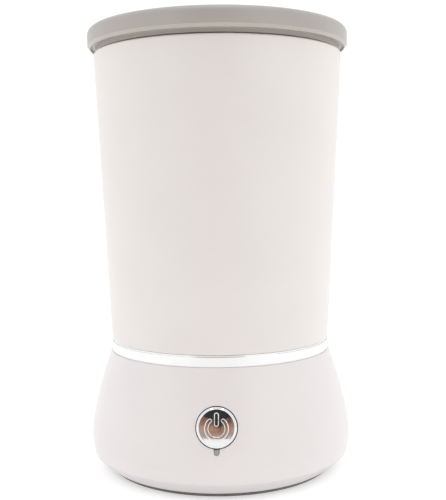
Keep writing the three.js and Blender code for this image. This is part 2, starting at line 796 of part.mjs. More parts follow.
add(buttonPlace, "power_button", powerButton(), CHROME);
add(buttonPlace, "button_spring", buttonSpring(), STEEL);
add(buttonPlace, "key_board", keyBoard(), BOARD);
add(buttonPlace, "tact_switch_body", tactSwitchBody(), DARK);
const plunger = cylinder(PLUNGER_R, switchFrontZ - 1.6 + TRAVEL / 2 + 0.1, plungerFrontZ);
add(buttonPlace, "tact_switch_plunger", plunger, RED);
const lensRearZ = boardFrontZ + 3.0;
const lens = solid(lensShape(0, lensRearZ, 4).applyMatrix4(buttonPlace.matrix)).intersect(baseVolume(0.15));
add(frother, "indicator_lens", shape(lens), CLEAR);
const ledY = (lensTopY + lensLowY) / 2;
const led = box(-LED_HALF, LED_HALF, ledY - 1.3, ledY + 1.3, boardFrontZ + 0.1, lensRearZ - 0.5);
add(buttonPlace, "indicator_led", led, CREAM);
[-1, 1].forEach((side, i) => {
  const mesh = add(buttonPlace, `key_board_screw_${i + 1}`, screw(6.2, SMALL_SCREW_R), STEEL);
  mesh.position.set(side * keyPostX, 0, boardFrontZ - BOARD_T - 0.1 - SMALL_HEAD_H);
});

// ---------------------------------------------------------------- motor and drive

const canTopZ = frameTopZ - FRAME_T - DAMPER_T - 2 * FIT;
const canBottomZ = canTopZ - MOTOR_L;
const carrierBottomZ = heaterTopZ - CARRIER_GAP - CARRIER_H;
const carrierMagnetR = CARRIER_R - DRIVE_MAGNET_R - MAGNET_INSET; // their centres' circle
const motorScrewR = MOTOR_R - MOTOR_SCREW_INSET;
const motorScrewAngles = [90, 270];

function motorFrame() {
  const r = neckR - 3;
  const plate = tube(SHAFT_R + SHAFT_OPENING, r, frameTopZ - FRAME_T, frameTopZ, LARGE);
  const low = frameTopZ - FRAME_T - 1;
  const holes = [
    ...screwHoles(SCREW_R, low, frameTopZ + 1, frameScrewR, frameScrewAngles),
    ...screwHoles(SMALL_SCREW_R, low, frameTopZ + 1, motorScrewR, motorScrewAngles),
  ];
  return cut(plate, holes);
}

function motorDamper() {
  const low = canTopZ + FIT;
  const high = low + DAMPER_T;
  const ring = tube(SHAFT_R + SHAFT_OPENING, MOTOR_R - 1, low, high);
  return cut(ring, screwHoles(SMALL_SCREW_R, low - 1, high + 1, motorScrewR, motorScrewAngles));
}

function motorCan() {
  const boreR = SHAFT_R + RUN;
  const outline = [
    [0, canTopZ - MOTOR_L + 4],
    [0, canBottomZ],
    [MOTOR_R - 1, canBottomZ],
    [MOTOR_R, canBottomZ + 1],
    [MOTOR_R, canTopZ - 1],
    [MOTOR_R - 1, canTopZ],
    [boreR, canTopZ],
    [boreR, canTopZ - MOTOR_L + 4],
  ];
  const holes = screwHoles(SMALL_SCREW_R, canTopZ - 4, canTopZ + 1, motorScrewR, motorScrewAngles);
  return cut(lathe(outline, MEDIUM), holes);
}

function magnetCarrier() {
  const boreR = SHAFT_R + 0.15;
  const top = carrierBottomZ + CARRIER_H;
  const outline = [
    [boreR, carrierBottomZ],
    [CARRIER_R - 4, carrierBottomZ],
    [CARRIER_R, carrierBottomZ + 2],
    [CARRIER_R, top],
    [boreR, top],
  ];
  const pockets = [0, 180].map((angle) => {
    const pocket = cylinder(DRIVE_MAGNET_R + FIT, top - DRIVE_MAGNET_H - FIT, top + 1);
    return at(pocket, polar(carrierMagnetR, angle));
  });
  return cut(lathe(outline, MEDIUM), pockets);
}

add(frother, "motor_frame", motorFrame(), DARK);
add(frother, "motor_damper", motorDamper(), RUBBER);
add(frother, "motor_can", motorCan(), STEEL);
const endCapTopZ = canBottomZ - FIT;
const endCapR = MOTOR_R - 1.2;
const endCap = cylinder(endCapR, endCapTopZ - END_CAP_H, endCapTopZ, 28);
add(frother, "motor_end_cap", endCap, DARK);
const shaft = cylinder(SHAFT_R, canBottomZ + 5, carrierBottomZ + CARRIER_H - 0.8);
add(frother, "motor_shaft", shaft, STEEL);
add(frother, "magnet_carrier", magnetCarrier(), DARK);
["a", "b"].forEach((letter, i) => {
  const magnet = cylinder(DRIVE_MAGNET_R, 0, DRIVE_MAGNET_H);
  const z = carrierBottomZ + CARRIER_H - DRIVE_MAGNET_H;
  const place = polar(carrierMagnetR, 180 * i, z);
  add(frother, `drive_magnet_${letter}`, magnet, MAGNET).position.copy(place);
});
motorScrewAngles.forEach((angle, i) => {
  const mesh = add(frother, `motor_screw_${i + 1}`, screw(6.4, SMALL_SCREW_R), STEEL);
  mesh.rotation.x = Math.PI;
  mesh.position.copy(polar(motorScrewR, angle, frameTopZ + HEAD_GAP + SMALL_HEAD_H));
});
const frameScrewZ = shelfBottomZ - HEAD_GAP - SCREW_HEAD_H;
frameScrewAngles.forEach((angle, i) => {
  const length = bossHoleTopZ - FIT - frameScrewZ;
  const mesh = add(frother, `frame_screw_${i + 1}`, screw(length), STEEL);
  mesh.position.copy(polar(frameScrewR, angle, frameScrewZ));
});

// ---------------------------------------------------------------- heater and its guards

const heater = tube(HEATER_IN_R, HEATER_OUT_R, heaterBottomZ, heaterTopZ, MEDIUM);
add(frother, "heater_plate", heater, finish(0xb8b8b4, 0.4, 1));
const heaterCircleR = (HEATER_IN_R + HEATER_OUT_R) / 2;
["a", "b"].forEach((letter, i) => {
  const tab = box(-2.4, 2.4, -0.4, 0.4, heaterBottomZ - FIT - 6.5, heaterBottomZ - FIT);
  const mesh = add(frother, `heater_terminal_${letter}`, tab, BRASS);
  const angle = 290 + 22 * i;
  mesh.position.copy(polar(heaterCircleR, angle));
  mesh.rotation.z = THREE.MathUtils.degToRad(angle + 90);
});

const sensorR = (CARRIER_R + HEATER_IN_R) / 2;
const sensor = cylinder(SENSOR_R, frameTopZ + FIT, heaterTopZ);
add(frother, "thermistor", sensor, BRASS).position.copy(polar(sensorR, 60));

const fusePlace = new THREE.Group();
fusePlace.position.copy(polar(heaterCircleR, 180, heaterBottomZ - FUSE_R - 1));
frother.add(fusePlace);
const fuseOutline = [[0, -5], [0.5, -5], [FUSE_R, -3.6], [FUSE_R, 3.6], [0.5, 5], [0, 5]];
const fuseBody = lathe(fuseOutline, SMALL).rotateX(Math.PI / 2);
add(fusePlace, "thermal_fuse", fuseBody, CREAM);

/** A bent strap round the fuse, with a flat wing on each side against the heater. */
function fuseClip() {
  const inner = FUSE_R + FIT;
  const outer = inner + CLIP_T;
  const wingZ = FUSE_R + 0.7;
  const under = arc(0, 0, outer, 180, 360, 8);
  const over = arc(0, 0, inner, 360, 180, 8);
  const points = [
    [-CLIP_HALF, wingZ - CLIP_T],
    [-outer, wingZ - CLIP_T],
    ...under,
    [outer, wingZ - CLIP_T],
    [CLIP_HALF, wingZ - CLIP_T],
    [CLIP_HALF, wingZ],
    [inner, wingZ],
    ...over,
    [-inner, wingZ],
    [-CLIP_HALF, wingZ],
  ].map(([x, y]) => new THREE.Vector2(x, y));
  const geometry = new THREE.ExtrudeGeometry(new THREE.Shape(points), { depth: 4, bevelEnabled: false });
  return geometry.translate(0, 0, -2).rotateX(Math.PI / 2);
}

add(fusePlace, "fuse_clip", fuseClip(), STEEL);

// ---------------------------------------------------------------- power inlet

function inletBody() {
  const floor = COVER_FLOOR_Z;
  const recessR = INLET_R - INLET_WALL;
  const recessTopZ = INLET_TOP_Z - INLET_WALL;
  const flangeZ = coverTopZ + FIT;
  const outline = [
    [0, INLET_TOP_Z],
    [0, recessTopZ - INLET_BORE_RISE],
    [INLET_BORE_R, recessTopZ - INLET_BORE_RISE],
    [INLET_BORE_R, floor + POST_SETBACK],
    [INLET_POST_R, floor + POST_SETBACK],
    [INLET_POST_R, recessTopZ],
    [recessR, recessTopZ],
    [recessR, floor],
    [INLET_R, floor],
    [INLET_R, flangeZ],
    [INLET_R + INLET_FLANGE, flangeZ],
    [INLET_R + INLET_FLANGE, flangeZ + INLET_FLANGE_T],
    [INLET_R, flangeZ + INLET_FLANGE_T],
    [INLET_R, INLET_TOP_Z],
  ];
  return lathe(outline, MEDIUM);
}

const contactTopZ = INLET_TOP_Z - INLET_WALL - FIT;
add(frother, "inlet_connector_body", inletBody(), DARK);
const pinR = INLET_BORE_R - FIT;
const pinTopZ = contactTopZ - INLET_BORE_RISE;
add(frother, "inlet_centre_contact", tube(pinR - 1, pinR, COVER_FLOOR_Z + 3, pinTopZ, SMALL), BRASS);
const liveR = INLET_POST_R + FIT;
add(frother, "inlet_live_ring", tube(liveR, liveR + CONTACT_T, 6, contactTopZ), BRASS);
const earthR = INLET_R - INLET_WALL - FIT;
add(frother, "inlet_earth_ring", tube(earthR - CONTACT_T, earthR, 8, contactTopZ), BRASS);

// ---------------------------------------------------------------- control board

const rear = controlBoardY + BOARD_T + FIT;
const boardLowZ = coverTopZ + 0.7;
const boardHighZ = shelfBottomZ - 5.5;
const board = box(
  -CONTROL_BOARD_HALF, CONTROL_BOARD_HALF,
  controlBoardY, controlBoardY + BOARD_T,
  boardLowZ, boardHighZ,
);
add(frother, "control_board", board, BOARD);
add(frother, "relay", box(-20, -3, rear, rear + 10, 18, 33), BLUE);
add(frother, "transformer", box(2, 17, rear, rear + 12.5, 18, 32), CREAM);
const capacitorR = 5;
const capacitor = cylinder(capacitorR, 0, 15, MEDIUM);
const capacitorPlace = new THREE.Vector3(17, controlBoardY - capacitorR - FIT, 18);
add(frother, "filter_capacitor", capacitor, RED).position.copy(capacitorPlace);

// ---------------------------------------------------------------- wires

const boardFaceY = controlBoardY - FIT;
[-1, 1].forEach((side, i) => {
  const x = side * 5;
  const z = endCapTopZ - END_CAP_H / 2;
  const startY = Math.sqrt(endCapR ** 2 - x ** 2) + 2 * FIT;
  const run = [
    new THREE.Vector3(x, startY, z),
    new THREE.Vector3(x, (startY + boardFaceY) / 2, z - 2),
    new THREE.Vector3(x, boardFaceY, z),
  ];
  add(frother, `motor_lead_${"ab"[i]}`, wire(run, WIRE_R, 5), i ? RED : DARK);
});
[-1, 1].forEach((side, i) => {
  const x = side * 10.5;
  const z = INLET_TOP_Z + 1;
  const run = [
    new THREE.Vector3(x, 10.5, z),
    new THREE.Vector3(x, 14, z + 2),
    new THREE.Vector3(x, boardFaceY - 5, z),
    new THREE.Vector3(x, boardFaceY, z),
  ];
  add(frother, `supply_lead_${["live", "neutral"][i]}`, wire(run, WIRE_R, 8), i ? BLUE : RED);
});

export default frother;
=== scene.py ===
# %% [markdown]
# A milk frother is a steel pot inside a plastic body, on a base that holds the motor.
# The CAD frame brings every part at its true place. This file dresses it: round parts are
# remade as fine surfaces, and every finish gets its own grain and gloss.
# Lengths are metres, as Blender has them; MM turns a size in millimetres into metres.

# %% The frame
import json
import math

import bpy
import numpy as np
from mathutils import Matrix, Vector


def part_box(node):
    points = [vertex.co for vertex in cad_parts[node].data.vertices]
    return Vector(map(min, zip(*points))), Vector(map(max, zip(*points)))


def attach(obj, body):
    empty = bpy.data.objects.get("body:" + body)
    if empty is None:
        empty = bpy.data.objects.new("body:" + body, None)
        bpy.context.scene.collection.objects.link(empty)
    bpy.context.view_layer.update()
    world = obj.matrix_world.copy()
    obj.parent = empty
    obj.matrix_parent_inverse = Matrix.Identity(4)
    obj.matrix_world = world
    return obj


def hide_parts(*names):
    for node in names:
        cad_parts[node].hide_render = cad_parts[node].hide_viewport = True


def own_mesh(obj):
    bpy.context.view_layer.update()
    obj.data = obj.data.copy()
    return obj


MM = 0.001
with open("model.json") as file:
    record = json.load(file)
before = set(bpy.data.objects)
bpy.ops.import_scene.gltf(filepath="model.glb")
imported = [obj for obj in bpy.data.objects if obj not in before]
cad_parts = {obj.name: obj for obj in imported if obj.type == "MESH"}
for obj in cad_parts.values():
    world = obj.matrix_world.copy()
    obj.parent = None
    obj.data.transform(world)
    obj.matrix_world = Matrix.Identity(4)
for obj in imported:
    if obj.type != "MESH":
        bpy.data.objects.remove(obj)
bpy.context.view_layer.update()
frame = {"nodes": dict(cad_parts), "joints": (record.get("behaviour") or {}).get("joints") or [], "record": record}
scene = bpy.context.scene

# %% [markdown]
# Sizes come from the CAD nodes. A round part is known by its outer radius and its two heights,
# so one small helper reads those three from the node's box.


# %% Reading sizes
def ring_size(node):
    """Outer radius, lowest and highest z of a round CAD node, in metres."""
    low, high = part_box(node)
    return (high.x - low.x) / 2, low.z, high.z


LID_R, LID_RIB_Z, LID_TOP_Z = ring_size("lid_cap")
BODY_R, NECK_Z, BODY_TOP_Z = ring_size("body_shell")
RING_R, RING_LOW_Z, RING_TOP_Z = ring_size("trim_ring")
BASE_R, BASE_FOOT_Z, BASE_TOP_Z = ring_size("base_shell")
POT_R, POT_BOTTOM_Z, POT_TOP_Z = ring_size("inner_pot")
FOOT_R, FLOOR_Z, FOOT_TOP_Z = ring_size("foot_ring")
for part, radius in (("lid", LID_R), ("pot", POT_R), ("body", BODY_R), ("trim ring", RING_R),
                     ("base", BASE_R), ("foot ring", FOOT_R)):
    print(part, "radius", round(radius / MM, 2), "mm")

# %% [markdown]
# A turned part is an outline swept once round the axis. Real mouldings have no sharp corners,
# so the outline is given as corners, each with its own rounding, and the arcs are worked out.
# Straight runs get a point close to each end: that holds the flat faces flat when the mesh
# is shaded smooth, because the curvature stays inside the rounding.


# %% Outlines with rounded corners
def rounded(corners, closed=True, arc_steps=6, hold=0.25 * MM, reach=4 * MM):
    """Corners (r, z, rounding) as a dense outline: each corner is cut back by
    rounding x tan(half its turn) on both sides and bridged by a circular arc."""
    points = np.array([c[:2] for c in corners], float)
    radii = np.array([c[2] if len(c) > 2 else 0 for c in corners], float)
    before, after = np.roll(points, 1, 0), np.roll(points, -1, 0)
    stretches = []
    for i, (p, radius) in enumerate(zip(points, radii)):
        ends = not closed and i in (0, len(points) - 1)
        a, b = before[i] - p, after[i] - p
        la, lb = np.linalg.norm(a), np.linalg.norm(b)
        if ends or radius <= 0 or la == 0 or lb == 0:
            stretches.append(p[None])
            continue
        a, b = a / la, b / lb
        half = math.acos(np.clip(a @ b, -1, 1)) / 2
        back = min(radius / math.tan(half), 0.49 * la, 0.49 * lb)
        middle = p + (a + b) / np.linalg.norm(a + b) * back / math.cos(half)
        start, stop = p + a * back - middle, p + b * back - middle
        turn = math.pi - 2 * half
        t = np.linspace(0, 1, arc_steps + 1)[:, None]
        bow = (np.sin((1 - t) * turn) * start + np.sin(t * turn) * stop) / math.sin(turn)
        stretches.append(middle + bow)
    outline = []
    count = len(stretches)
    for i, stretch in enumerate(stretches):
        outline.append(stretch)
        if not closed and i == count - 1:
            break
        here, there = stretch[-1], stretches[(i + 1) % count][0]
        length = np.linalg.norm(there - here)
        if length > 3 * hold:
            inner = np.linspace(hold, length - hold, max(2, int(length / reach) + 1))
            outline.append(here + (there - here) * (inner / length)[:, None])
    return np.concatenate(outline)


# %% [markdown]
# Sweeping the outline gives a grid: one parameter runs along the outline, the other round
# the axis. Vertices and faces are whole arrays, so a fine surface costs no Python loop.


# %% Surfaces on a grid
def to_mesh(name, vertices, faces):
    """A smooth-shaded object from a vertex array and a list of face arrays (3 or 4 corners)."""
    mesh = bpy.data.meshes.new(name)
    loops = np.concatenate([f.ravel() for f in faces]).astype(np.int32)
    totals = np.concatenate([np.full(len(f), f.shape[1]) for f in faces]).astype(np.int32)
    mesh.vertices.add(len(vertices))
    mesh.vertices.foreach_set("co", np.asarray(vertices, np.float32).ravel())
    mesh.loops.add(len(loops))
    mesh.loops.foreach_set("vertex_index", loops)
    mesh.polygons.add(len(totals))
    mesh.polygons.foreach_set("loop_start", np.concatenate([[0], np.cumsum(totals)[:-1]]).astype(np.int32))
    mesh.update(calc_edges=True)
    mesh.validate()
    mesh.polygons.foreach_set("use_smooth", np.ones(len(mesh.polygons), bool))
    piece = bpy.data.objects.new(name, mesh)
    scene.collection.objects.link(piece)
    print(name, len(mesh.polygons), "faces")
    return piece


def grid_faces(rows, columns, start=0, wrap_rows=False, wrap_columns=True):
    """Quads of a rows x columns grid of vertices, numbered row by row."""
    index = start + np.arange(rows * columns).reshape(rows, columns)
    if wrap_rows:
        index = np.vstack([index, index[:1]])
    if wrap_columns:
        index = np.hstack([index, index[:, :1]])
    corners = [index[:-1, :-1], index[:-1, 1:], index[1:, 1:], index[1:, :-1]]
    return np.stack(corners, -1).reshape(-1, 4)


def revolve(name, outline, columns=160, shape=None):
    """An outline of (r, z) swept round +Z: x = r cos a, y = r sin a. Anticlockwise outlines face
    out. An outline that starts and ends on the axis is closed there by a fan of triangles.
    shape(x, y, z) may move the finished points."""
    angle = np.linspace(0, 2 * np.pi, columns, endpoint=False)
    capped = outline[0][0] < 1e-9
    body = outline[1:-1] if capped else outline
    r, z = body[:, :1], body[:, 1:]
    points = np.stack([r * np.cos(angle), r * np.sin(angle), z + 0 * angle], -1).reshape(-1, 3)
    faces = [grid_faces(len(body), columns, wrap_rows=not capped)]
    if capped:
        first, last = len(points), len(points) + 1
        points = np.vstack([points, [0, 0, outline[0][1]], [0, 0, outline[-1][1]]])
        here = np.arange(columns)
        there = np.roll(here, -1)
        end = (len(body) - 1) * columns
        faces.append(np.stack([0 * here + first, there, here], -1))
        faces.append(np.stack([end + here, end + there, 0 * here + last], -1))
    if shape is not None:
        points = shape(points)
    return to_mesh(name, points, faces)


def tube(name, path, radius, sides=10, ring=True, shape=None):
    """A tube along a path that winds round +Z: at each point a circle stands square to the path.
    A ring's path closes on itself; any other tube has a flat face at each end."""
    along = np.roll(path, -1, 0) - np.roll(path, 1, 0) if ring else np.gradient(path, axis=0)
    along /= np.linalg.norm(along, axis=1)[:, None]
    out = path * [1, 1, 0]
    out -= along * np.sum(out * along, 1)[:, None]
    out /= np.linalg.norm(out, axis=1)[:, None]
    side = np.cross(along, out)
    a = np.linspace(0, 2 * np.pi, sides, endpoint=False)[None, :, None]
    points = path[:, None] + radius * (np.cos(a) * out[:, None] + np.sin(a) * side[:, None])
    points = points.reshape(-1, 3)
    faces = [grid_faces(len(path), sides, wrap_rows=ring)]
    if not ring:
        end = np.arange(sides)[None]
        faces += [end[:, ::-1], end + (len(path) - 1) * sides]
    return to_mesh(name, points if shape is None else shape(points), faces)


# %% [markdown]
# Finishes. Each is a node material on Object coordinates, so the grain keeps its real size.
# A moulded plastic has three layers: a faint cloudiness of its colour, a gloss that varies
# over about a centimetre, and a spark-eroded grain of a fraction of a millimetre, which is
# bump. Metal has the same layers, with the grain drawn out into lines.


# %% Building a finish
class Finish:
    """A node material with a Principled shader, and short words for adding layers to it."""

    def __init__(self, name, roughness=0.4, metallic=0.0, **sockets):
        self.material = bpy.data.materials.new(name)
        self.material.use_nodes = True
        self.nodes = self.material.node_tree.nodes
        self.links = self.material.node_tree.links
        self.shader = self.nodes["Principled BSDF"]
        self.shader.inputs["Roughness"].default_value = roughness
        self.shader.inputs["Metallic"].default_value = metallic
        for socket, value in sockets.items():
            self.shader.inputs[socket.replace("_", " ")].default_value = value
        self.place = self.nodes.new("ShaderNodeTexCoord").outputs["Object"]
        self.height = None

    def noise(self, size, stretch=(1, 1, 1), detail=3.0, roughness=0.5):
        """Smooth noise whose blobs are about size metres across, drawn out by stretch."""
        mapping = self.nodes.new("ShaderNodeMapping")
        mapping.inputs["Scale"].default_value = [s / size for s in stretch]
        texture = self.nodes.new("ShaderNodeTexNoise")
        texture.inputs["Scale"].default_value = 1.0
        texture.inputs["Detail"].default_value = detail
        texture.inputs["Roughness"].default_value = roughness
        self.links.new(self.place, mapping.inputs["Vector"])
        self.links.new(mapping.outputs["Vector"], texture.inputs["Vector"])
        return texture.outputs["Fac"]

    def span(self, value, low, high, start=0.3, stop=0.7):
        """Maps start..stop of a value to low..high, and holds it level outside them."""
        node = self.nodes.new("ShaderNodeMapRange")
        node.inputs["From Min"].default_value = start
        node.inputs["From Max"].default_value = stop
        node.inputs["To Min"].default_value = low
        node.inputs["To Max"].default_value = high
        self.links.new(value, node.inputs["Value"])
        return node.outputs["Result"]

    def colours(self, value, stops):
        """A colour ramp: stops are (position, (r, g, b)) in linear light."""
        ramp = self.nodes.new("ShaderNodeValToRGB")
        elements = ramp.color_ramp.elements
        while len(elements) < len(stops):
            elements.new(0.5)
        for element, (position, colour) in zip(elements, stops):
            element.position = position
            element.color = (*colour, 1)
        self.links.new(value, ramp.inputs["Fac"])
        self.links.new(ramp.outputs["Color"], self.shader.inputs["Base Color"])

    def band(self, low, high, tint, fade=0.1 * MM, edge=0.1 * MM):
        """Multiplies the colour by a tint between two heights. It comes in over fade below low
        and goes out over edge above high."""
        split = self.nodes.new("ShaderNodeSeparateXYZ")
        self.links.new(self.place, split.inputs["Vector"])
        above = self.span(split.outputs["Z"], 0, 1, low - fade, low)
        below = self.span(split.outputs["Z"], 1, 0, high, high + edge)
        both = self.nodes.new("ShaderNodeMath")
        both.operation = "MULTIPLY"
        self.links.new(above, both.inputs[0])
        self.links.new(below, both.inputs[1])
        mix = self.nodes.new("ShaderNodeMix")
        mix.data_type, mix.blend_type = "RGBA", "MULTIPLY"
        for socket in mix.inputs:
            if socket.name == "B" and socket.type == "RGBA":
                socket.default_value = (*tint, 1)
        colour_in = next(i for i in mix.inputs if i.name == "A" and i.type == "RGBA")
        colour_out = next(o for o in mix.outputs if o.type == "RGBA")
        old = self.shader.inputs["Base Color"].links[0].from_socket
        self.links.new(both.outputs[0], mix.inputs["Factor"])
        self.links.new(old, colour_in)
        self.links.new(colour_out, self.shader.inputs["Base Color"])

    def gloss(self, value, low, high):
        """Lets the roughness follow a noise from low to high."""
        self.links.new(self.span(value, low, high), self.shader.inputs["Roughness"])

    def bump(self, value, depth, strength=1.0):
        """Adds a layer of relief, depth metres high."""
        node = self.nodes.new("ShaderNodeBump")
        node.inputs["Strength"].default_value = strength
        node.inputs["Distance"].default_value = depth
        self.links.new(value, node.inputs["Height"])
        if self.height is not None:
            self.links.new(self.height, node.inputs["Normal"])
        self.height = node.outputs["Normal"]
        self.links.new(self.height, self.shader.inputs["Normal"])


def tinted(colour, shift):
    """A colour made lighter or darker by a share."""
    return tuple(min(1.0, c * (1 + shift)) for c in colour)


# %% Moulded plastic
def plastic(name, colour, roughness, grain=0.35 * MM, depth=0.006 * MM, cloud=0.03, bands=(), **sockets):
    """Moulded plastic: cloudy colour, gloss that varies slowly, spark-eroded grain. Each band is
    (low, high, tint), perhaps with the widths over which it comes in and goes out: between these
    heights the colour is multiplied by the tint, for a tone of the plastic's own or for painted light and shade."""
    made = Finish(name, roughness=roughness, **sockets)
    clouds = made.noise(18 * MM, detail=4)
    made.colours(clouds, [(0.3, tinted(colour, -cloud)), (0.7, tinted(colour, cloud))])
    for band in bands:
        made.band(*band)
    made.gloss(made.noise(9 * MM, detail=5, roughness=0.6), roughness - 0.05, roughness + 0.07)
    made.bump(made.noise(grain, detail=2), depth)
    made.bump(made.noise(22 * MM, detail=1), 0.02 * MM, 0.4)
    return made.material


# %% Metals
def brushed(name, colour, roughness, stretch, size=0.25 * MM, depth=0.003 * MM):
    """Brushed metal: fine lines, long across the stretch's small numbers."""
    made = Finish(name, roughness=roughness, metallic=1.0)
    lines = made.noise(size, stretch=stretch, detail=3, roughness=0.6)
    made.colours(lines, [(0.25, tinted(colour, -0.08)), (0.75, tinted(colour, 0.05))])
    made.gloss(made.noise(12 * MM, detail=4), roughness - 0.06, roughness + 0.08)
    made.bump(lines, depth)
    return made.material


def polished(name, colour, roughness, wave=0.012 * MM):
    """Plated or polished metal: a mirror with the faint ripple of the piece under the plate."""
    made = Finish(name, roughness=roughness, metallic=1.0)
    haze = made.noise(6 * MM, detail=5)
    made.colours(haze, [(0.3, tinted(colour, -0.02)), (0.7, tinted(colour, 0.01))])
    made.gloss(haze, max(0.02, roughness - 0.02), roughness + 0.05)
    made.bump(made.noise(7 * MM, detail=1), wave, 0.5)
    made.bump(made.noise(0.2 * MM, detail=2), 0.0006 * MM)
    return made.material


# %% Rubber, silicone, glass and circuit board
def rubber(name, colour, roughness=0.75):
    """Rubber: matt, with a dusty bloom in patches and a coarse soft grain."""
    made = Finish(name, roughness=roughness)
    bloom = made.noise(5 * MM, detail=5, roughness=0.65)
    made.colours(bloom, [(0.3, tinted(colour, -0.15)), (0.75, tinted(colour, 0.35))])
    made.gloss(bloom, roughness - 0.08, roughness + 0.12)
    made.bump(made.noise(0.4 * MM, detail=3), 0.02 * MM)
    return made.material


def silicone(name, colour):
    """Soft translucent rubber: light goes a little way in."""
    made = Finish(name, roughness=0.45, Subsurface_Weight=0.4, Subsurface_Scale=2 * MM)
    made.colours(made.noise(6 * MM), [(0.3, tinted(colour, -0.04)), (0.7, tinted(colour, 0.04))])
    made.gloss(made.noise(3 * MM, detail=4), 0.38, 0.55)
    made.bump(made.noise(0.3 * MM), 0.008 * MM)
    return made.material


def light_pipe(name, colour):
    """Frosted clear plastic that carries the indicator's light to the front."""
    made = Finish(name, roughness=0.3, Transmission_Weight=0.12, IOR=1.49)
    made.colours(made.noise(0.8 * MM), [(0.3, tinted(colour, -0.06)), (0.7, tinted(colour, 0.06))])
    made.gloss(made.noise(0.5 * MM, detail=4), 0.22, 0.4)
    made.bump(made.noise(0.15 * MM), 0.004 * MM)
    return made.material


def circuit(name, colour):
    """Glass-fibre board: green lacquer over a fine weave, with copper showing as paler patches."""
    made = Finish(name, roughness=0.35, Coat_Weight=0.4, Coat_Roughness=0.15)
    copper = made.noise(3 * MM, detail=0)
    made.colours(copper, [(0.42, tinted(colour, -0.25)), (0.48, tinted(colour, 0.3))])
    made.gloss(made.noise(5 * MM), 0.28, 0.42)
    made.bump(made.noise(0.5 * MM, stretch=(1, 1, 4)), 0.01 * MM)
    return made.material


# %% [markdown]
# The colours are in linear light. The shell is a warm white, the lid a warm grey, the base a
# touch cooler than the body. Slots are the names that the record gives to each finish.

# %% The finishes of this object
WHITE = (0.80, 0.765, 0.74)
GREY = (0.428, 0.402, 0.377)
STEEL = (0.62, 0.61, 0.59)
BASE_TINT = (0.985, 0.985, 1.015)  # the base is a touch cooler than the body
LIP_PAINTED_LIGHT = (1.15, 1.14, 1.12)  # painted light: the lid's lip faces down at the pale floor, so it is painted paler
INNER_SKIRT_SHADE = (0.90, 0.86, 0.83)  # painted shade: the inner skirt is painted darker and browner low down, in the gap over the body's edge
CREASE_Z = 6.3 * MM  # where the base's side turns in at its chamfer
# painted shade: the base's chamfer below the crease faces the floor and is painted darker
CHAMFER_SHADE = (0.86, 0.85, 0.87)
RINGS = (0.02, 0.02, 1)  # lines that run round the axis

finishes = {
    "white_shell": plastic("white_shell", WHITE, 0.42, cloud=0.012,
                           bands=[(-1.0, BASE_TOP_Z + 0.1 * MM, BASE_TINT),
                                  # painted shade on the base's chamfer, below the crease
                                  (-1.0, CREASE_Z, CHAMFER_SHADE, 0.1 * MM, 0.8 * MM)]),
    "grey_lid": plastic("grey_lid", GREY, 0.38, cloud=0.025,
                        # painted highlight: this band paints the lid's down-facing lip paler
                        bands=[(BODY_TOP_Z + 1.7 * MM, BODY_TOP_Z + 2.85 * MM, LIP_PAINTED_LIGHT),
                               # painted shade: this band darkens the lid's inner skirt in the gap under the lid
                               (BODY_TOP_Z, BODY_TOP_Z + 0.5 * MM, INNER_SKIRT_SHADE, 0.1 * MM, 1.8 * MM)]),
    "chrome_trim": polished("chrome_trim", (0.82, 0.825, 0.82), 0.12),
    "button_chrome": polished("button_chrome", (0.79, 0.79, 0.795), 0.045, wave=0.006 * MM),
    "pot_steel": brushed("pot_steel", STEEL, 0.32, RINGS),
    "spring_steel": brushed("spring_steel", (0.55, 0.55, 0.55), 0.28, (1, 1, 1)),
    "screw_steel": brushed("screw_steel", (0.45, 0.45, 0.46), 0.32, (1, 1, 1)),
    "dark_plastic": plastic("dark_plastic", (0.032, 0.031, 0.030), 0.5, depth=0.012 * MM, cloud=0.1),
    "foot_rubber": rubber("foot_rubber", (0.17, 0.16, 0.15)),
    "seal_silicone": silicone("seal_silicone", (0.68, 0.64, 0.56)),
    "lens_clear": light_pipe("lens_clear", (0.40, 0.395, 0.39)),
    "brass_contact": brushed("brass_contact", (0.65, 0.42, 0.13), 0.3, (1, 1, 1)),
    "circuit_board": circuit("circuit_board", (0.02, 0.11, 0.045)),
    "ceramic_cream": plastic("ceramic_cream", (0.68, 0.62, 0.5), 0.4),
    "magnet_nickel": polished("magnet_nickel", (0.6, 0.59, 0.57), 0.2),
    "heater_aluminium": brushed("heater_aluminium", (0.6, 0.6, 0.58), 0.45, (1, 1, 1), size=0.8 * MM),
    "red_plastic": plastic("red_plastic", (0.35, 0.03, 0.02), 0.45),
    "blue_plastic": plastic("blue_plastic", (0.025, 0.07, 0.27), 0.45),
}
for row in frame["record"]["subparts"]:
    mesh = frame["nodes"][row["node"]].data
    mesh.materials.clear()
    mesh.materials.append(finishes[row["material_slot"]])
print(len(finishes), "finishes on", len(frame["nodes"]), "CAD nodes")


# %% Putting a new piece in its place
def stands_for(piece, body, slot_name, *nodes):
    """The piece gets its finish, moves with its body and is shown in place of CAD nodes."""
    piece.data.materials.append(finishes[slot_name])
    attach(piece, body)
    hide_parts(*nodes)
    return piece


# %% [markdown]
# The lid's cap is one moulding: a flat top, a well rounded upper edge, a plain skirt, and a
# lip whose outer edge is cut back. Behind the lip an inner skirt comes down almost to the
# body's edge and hides the pot's rim. A rib inside holds the plug. It is a turned shape, so
# its outline says all of it.

